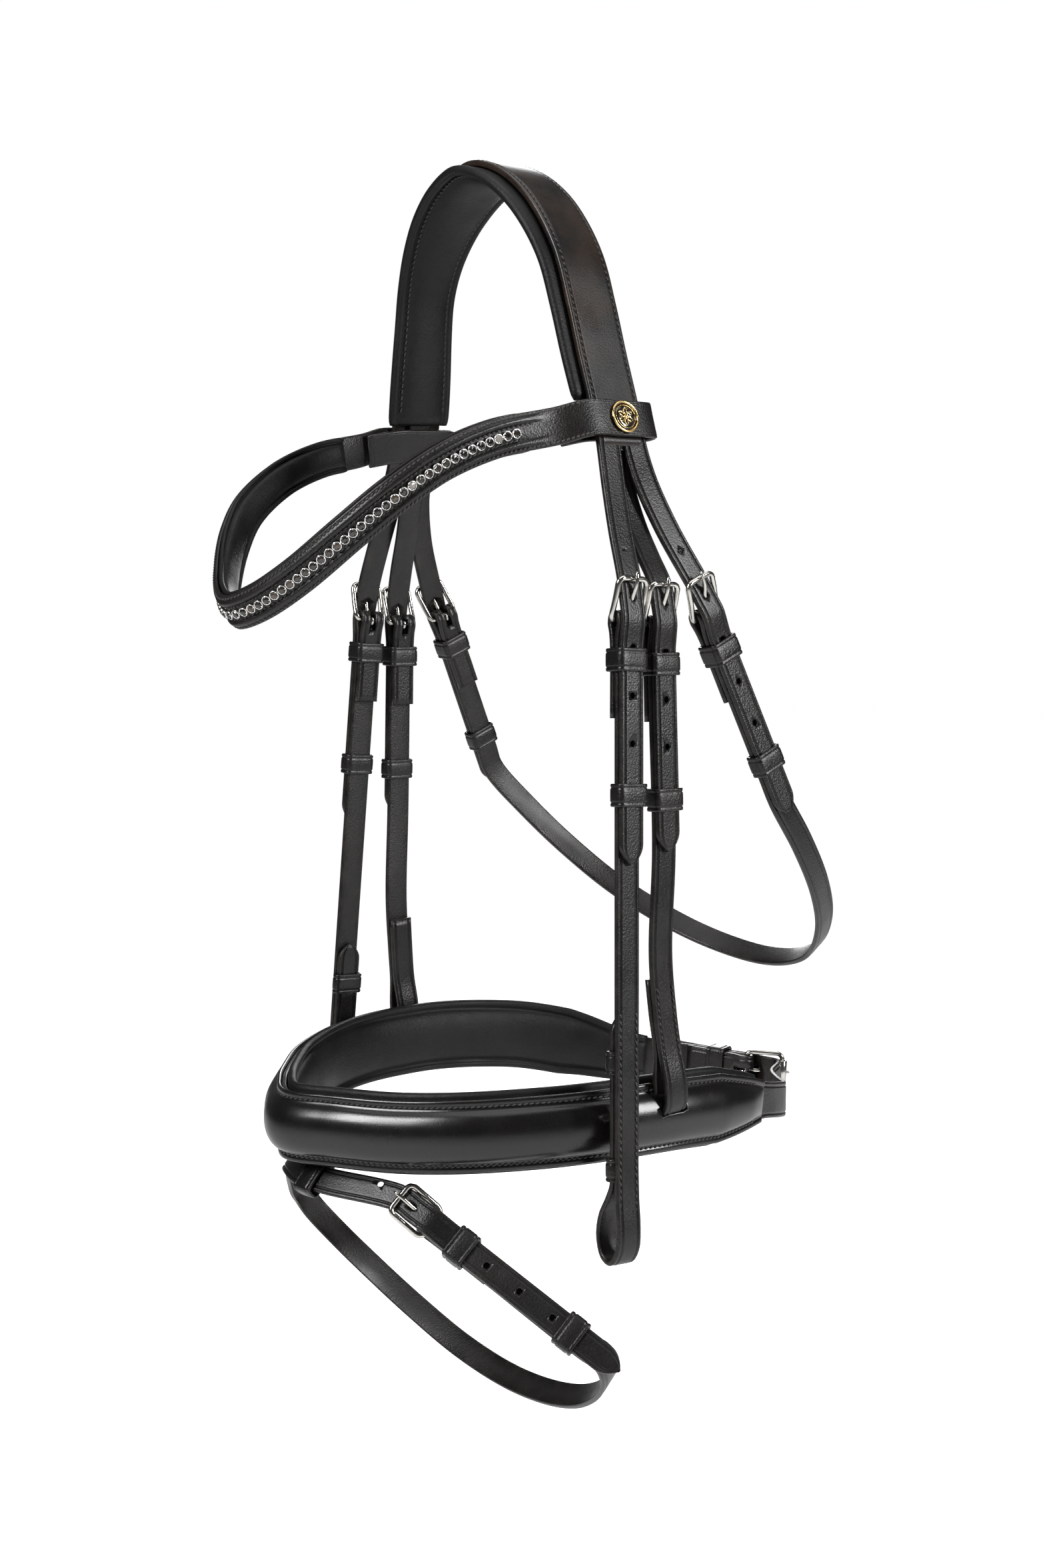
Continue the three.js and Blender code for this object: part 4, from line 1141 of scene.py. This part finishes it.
def makeNosebandStrap():
    laid = layRoute(nosebandRoute, up, tip=11, step=3.0)
    widening = np.clip(np.minimum((laid["s"] - 85) / 50, (laid["length"] - 200 - laid["s"]) / 130), 0, 1)
    width = sizes["chinWidth"] + (30 - sizes["chinWidth"]) * widening
    shape = sweepStrap(laid, width, -nose["leather"] / 2, nose["leather"] / 2, plainStrap)
    cutters = [chapeSlot(chinLine), *billetCuts(chinLine, (1, 2), sizes["chinLift"] + 1.3)]
    place("nosebandStrap", shape, bridleLeather, "noseband_ring", ["noseband_strap"], cutters=cutters)


# Stitched margin, then the roll, both over the same strap.
def rollSection(laid):
    ends = padEnds(laid)
    w = (sizes["nosebandHeight"] * ends**0.55) / 2
    low = nose["leather"] / 2 + gap
    m = nose["margin"]
    flat = 1.9
    rows = [(0.9, 0.0), (0.25, 0.25), (0.0, 0.9), (0.0, flat - 0.8), (0.25, flat - 0.2), (0.9, flat),
            (m - 1.9, flat), (m - 1.5, flat - 0.28),
            (m - 1.1, flat - 0.28), (m - 0.75, flat - 0.1)]
    count = len(laid["s"])
    a = np.stack([-(w - inset) for inset, _ in rows], 1)
    n = np.stack([np.full(count, low + rise) for _, rise in rows], 1)
    v = np.linspace(-1, 1, 23)
    inner = w - m + 0.6
    crownA = v[None] * inner[:, None]
    fromEnd = (laid["length"] / 2 - np.abs(laid["s"] - laid["length"] / 2)) / 14
    tall = nose["rollHigh"] * np.clip(ends, 0, 1) * np.clip(fromEnd, 0, 1) ** 0.5
    crownN = low + flat - 0.15 + tall[:, None] * (1 - np.abs(v) ** 2.3)[None] ** 0.62
    a = np.concatenate([a, crownA, -a[:, ::-1], np.zeros((count, 1))], 1)
    n = np.concatenate([n, crownN, n[:, ::-1], np.full((count, 1), low)], 1)
    return a, n, w, low + flat


def hangerRoom():
    start = chapeRoute(hangerLine, 42) + [hangerLine["at"](s, layerOut) for s in (40, 98)]
    foot = vecs(hanger["foot"])
    laid = layRoute(start + foot, hanger["across"], span=(len(start), len(start) + len(foot) - 1.5), step=4)
    return sweepStrap(laid, strapWidth + 1.0, -leather / 2 - 0.35, leather / 2 + 0.35,
                      strapSection(edge=0.5, crease=0, arc=3))


def makeNosebandRoll():
    laid = layRoute(nosebandRoute, up, span=padSpan, step=2.4, turn=6)
    a, n, w, flange = rollSection(laid)
    edge = np.zeros(a.shape[1])
    edge[1:5] = 1
    edge[-6:-2] = 1
    room = hangerRoom()
    other = dict(room, places=room["places"] * np.array([-1, 1, 1]))
    piece = place("nosebandRoll", sweepRows(laid, a, n, edge), rollHide, "noseband_ring", ["noseband_roll"],
                  cutters=[room, other])[0]
    clear = 7
    rowA = w - nose["margin"] + 1.3
    rows = [stitchRow(laid, side * rowA, flange - 0.15, clear, laid["length"] - clear, 2.5)
            for side in (-1, 1)]
    for s0 in (clear, laid["length"] - clear):
        i = int(np.argmin(np.abs(laid["s"] - s0)))
        reach = w[i] - nose["margin"] + 1.0
        steps = np.arange(-reach + 1.3, reach - 1, 2.5)
        spots = [laid["middle"][i] + laid["side"][i] * x + laid["out"][i] * (flange + 0.1) for x in steps]
        turnedSide = np.repeat(laid["along"][i][None], len(steps), 0)
        rows.append(stitchesAt(np.array(spots), np.repeat(laid["side"][i][None], len(steps), 0), turnedSide,
                               np.repeat(laid["out"][i][None], len(steps), 0)))
    place("nosebandStitching", joinShapes(rows), thread, "noseband_ring")


def makeNosebandLining():
    laid = layRoute(nosebandRoute, up, span=padSpan, step=2.2, turn=6)
    ends = padEnds(laid)
    share = endShare(laid, 5)
    back = -nose["leather"] / 2 - gap
    width = (sizes["nosebandHeight"] + 1) * ends**0.55 - 2.2
    a, n = padSection(width, back, 1.5, nose["liningDepth"] * ends * share, nose["rim"], 0.9)
    n = back + (n - back) * (0.4 + 0.6 * share[:, None])
    piece = place("nosebandLining", sweepRows(laid, a, n), liningHide, "noseband_ring",
                  ["noseband_lining"])[0]


hanger = dict(
    foot=[(108.2, 14.2, -345), (109.2, 16.2, -372), (110.4, 18, -388), (112.9, 19.4, -403),
          (112.4, 20, -412), (109.6, 20, -415.8), (106.6, 19.8, -412.5), (105.3, 19.4, -403),
          (107, 18, -388), (106, 16.2, -372), (105.1, 14.8, -356)],
    across=(0, 1, 0.06),
)


def makeHanger():
    start = chapeRoute(hangerLine, 42) + [hangerLine["at"](s, layerOut) for s in (40, 98)]
    route = start + vecs(hanger["foot"])
    laid = layRoute(route, hanger["across"])
    shape = plainSweep(laid)
    place("nosebandHanger", shape, bridleLeather, "noseband_ring", ["noseband_hanger_{side}"], pair=True,
          cutters=[chapeSlot(hangerLine)])
    top = [vec(81.7, 9.2, -124.8), vec(85.7, 9.9, -140), vec(92, 11.5, -157), vec(99.2, 13.2, -171)]
    billetLaid = layRoute(top + billetRoute(hangerLine, 99), hangerLine["side"], tip=9)
    shape = plainSweep(billetLaid)
    cutters = billetCuts(hangerLine, (-1.1, 1, 2, 3))
    place("nosebandBillet", shape, bridleLeather, "noseband_ring", ["noseband_billet_{side}"], pair=True,
          cutters=cutters)
    foldLaid = layRoute([hangerLine["at"](s, layerOut) for s in (24, 32, 44)], hangerLine["side"])
    footLaid = layRoute(vecs(hanger["foot"][:4]), hanger["across"])
    rows = edgeRows(foldLaid, cheek["stitchInset"])
    rows += edgeRows(footLaid, cheek["stitchInset"], 14, footLaid["length"] - 12)
    place("hangerStitching", joinShapes(rows), thread, "noseband_ring", pair=True)


makeNosebandStrap()
makeNosebandRoll()
makeNosebandLining()
makeHanger()
print("noseband made")

# Flash strap
flash = dict(
    back=[(122.5, -29.5, -512.5), (118, -21.5, -522), (103, -12.5, -536), (80, -6, -549.5),
          (50, -1.5, -558.8), (14, 0, -562.5), (-22, -3.3, -557.5), (-56, -9, -546), (-85, -15, -533.3),
          (-104, -23.5, -519.5), (-113, -34, -505)],
    front=[(-110, -42, -495), (-95, -53.5, -485), (-76, -66, -472), (-56, -78, -461), (-35, -91, -451.5),
           (-16, -101, -447.5), (0, -105, -448), (16, -102.1, -448.6)],
    across=(0, 0.69, 0.72), holes=[(-46, -6, 4), (-29, -1, 4), (31, billetOut, 1.5), (49, billetOut, 1.5),
                                   (67, billetOut, 1.5)],
)


def makeFlash():
    at = flashLine["at"]
    around = vecs(flash["back"] + flash["front"])
    route = chapeRoute(flashLine, 34) + [at(36, layerOut),
                                         at(86, layerOut)] + around + billetRoute(flashLine, 103)
    laid = layRoute(route, flash["across"], tip=9)
    shape = plainSweep(laid)
    cutters = [chapeSlot(flashLine), tongueRoom(flashLine, sizes["frameLength"], sizes["frameLift"]),
               *[punchAt(flashLine, *hole) for hole in flash["holes"]]]
    place("flashStrap", shape, bridleLeather, "flash_loop", ["flash_strap"], cutters=cutters)
    tabLine = straightLine((8, -103.9, -448.3), (14, 2.5, -0.5), flash["across"])
    tab = keeperShape(tabLine, 0, -leather / 2 - 0.9, leather / 2 + 0.9, strapWidth / 2 + 0.8, 11)
    place("flashTab", tab, bridleLeather, "flash_loop", ["flash_tab"])
    foldLaid = layRoute([at(s, layerOut) for s in (24, 30, 38)], flashLine["side"])
    rows = edgeRows(foldLaid, cheek["stitchInset"])
    place("flashStitching", joinShapes(rows), thread, "flash_loop")


makeFlash()
print("flash strap made")

# Floor, light and camera
studio = dict(floor=-0.78, fill=0.07, camera=(0.7758, -0.546, -0.196), pitch=-4.869293, azimuth=53.98965,
              lens=45.92)


def makeStudio():
    finish = bpy.data.materials.new("paperBackdrop")
    finish.use_nodes = True
    tree = finish.node_tree
    shader = tree.nodes["Principled BSDF"]
    fibre = addNode(tree, "ShaderNodeTexNoise")
    setInputs(fibre, Scale=40)
    tree.links.new(ramp(tree, fibre.outputs["Fac"], [(0.3, (0.9, 0.9, 0.9)), (0.7, (0.93, 0.93, 0.93))]),
                   shader.inputs["Base Color"])
    setInputs(shader, Roughness=0.9, Emission_Color=(1, 1, 1, 1))
    seen = addNode(tree, "ShaderNodeLightPath").outputs["Is Camera Ray"]
    tree.links.new(math2(tree, "MULTIPLY", seen, 1 - studio["fill"]), shader.inputs["Emission Strength"])
    half = 9.0
    mesh = bpy.data.meshes.new("paleFloor")
    z = studio["floor"]
    mesh.from_pydata([(-half, -half, z), (half, -half, z), (half, half, z), (-half, half, z)], [],
                     [(0, 1, 2, 3)])
    mesh.materials.append(finish)
    floor = bpy.data.objects.new("paleFloor", mesh)
    bpy.context.scene.collection.objects.link(floor)
    world = bpy.data.worlds.new("softRoom")
    bpy.context.scene.world = world
    world.use_nodes = True
    back = world.node_tree.nodes["Background"]
    back.inputs["Color"].default_value = (1, 1, 1, 1)
    seen = addNode(world.node_tree, "ShaderNodeLightPath").outputs["Is Camera Ray"]
    fill = studio["fill"]
    strength = math2(world.node_tree, "MULTIPLY_ADD", seen, 1 - fill)
    strength.node.inputs[2].default_value = fill
    world.node_tree.links.new(strength, back.inputs["Strength"])


lights = [
    dict(name="keyBox", at=(0.15, -1.5, 0.75), aim=(0.02, -0.02, -0.3), size=(0.5, 0.9), power=31),
    dict(name="nearBox", at=(1.5, 0.75, 0.3), aim=(0.05, 0.05, -0.3), size=(0.25, 0.9), power=25),
    dict(name="topBox", at=(0.1, 0.0, 1.3), aim=(0, 0, -0.2), size=(1.5, 1.5), power=11),
    dict(name="rearBox", at=(-1.3, 1.2, 0.3), aim=(0, 0, -0.3), size=(0.6, 1.2), power=13),
]


def aimAt(thing, at, aim):
    thing.location = at
    thing.rotation_euler = (Vector(aim) - Vector(at)).to_track_quat("-Z", "Y").to_euler()


def makeLights():
    for values in lights:
        lamp = bpy.data.lights.new(values["name"], "AREA")
        lamp.shape = "RECTANGLE"
        lamp.size, lamp.size_y = values["size"]
        lamp.energy = values["power"]
        thing = bpy.data.objects.new(values["name"], lamp)
        bpy.context.scene.collection.objects.link(thing)
        aimAt(thing, values["at"], values["aim"])


def makeCamera():
    camera = bpy.data.cameras.new("camera")
    camera.lens = studio["lens"]
    camera.sensor_width = 36
    thing = bpy.data.objects.new("camera", camera)
    bpy.context.scene.collection.objects.link(thing)
    thing.location = studio["camera"]
    thing.rotation_euler = (math.radians(90 + studio["pitch"]), 0, math.radians(studio["azimuth"]))
    bpy.context.scene.camera = thing


makeStudio()
makeLights()
makeCamera()
bpy.context.scene.view_settings.view_transform = "Standard"

print("scene ready:", len(pieces), "pieces")
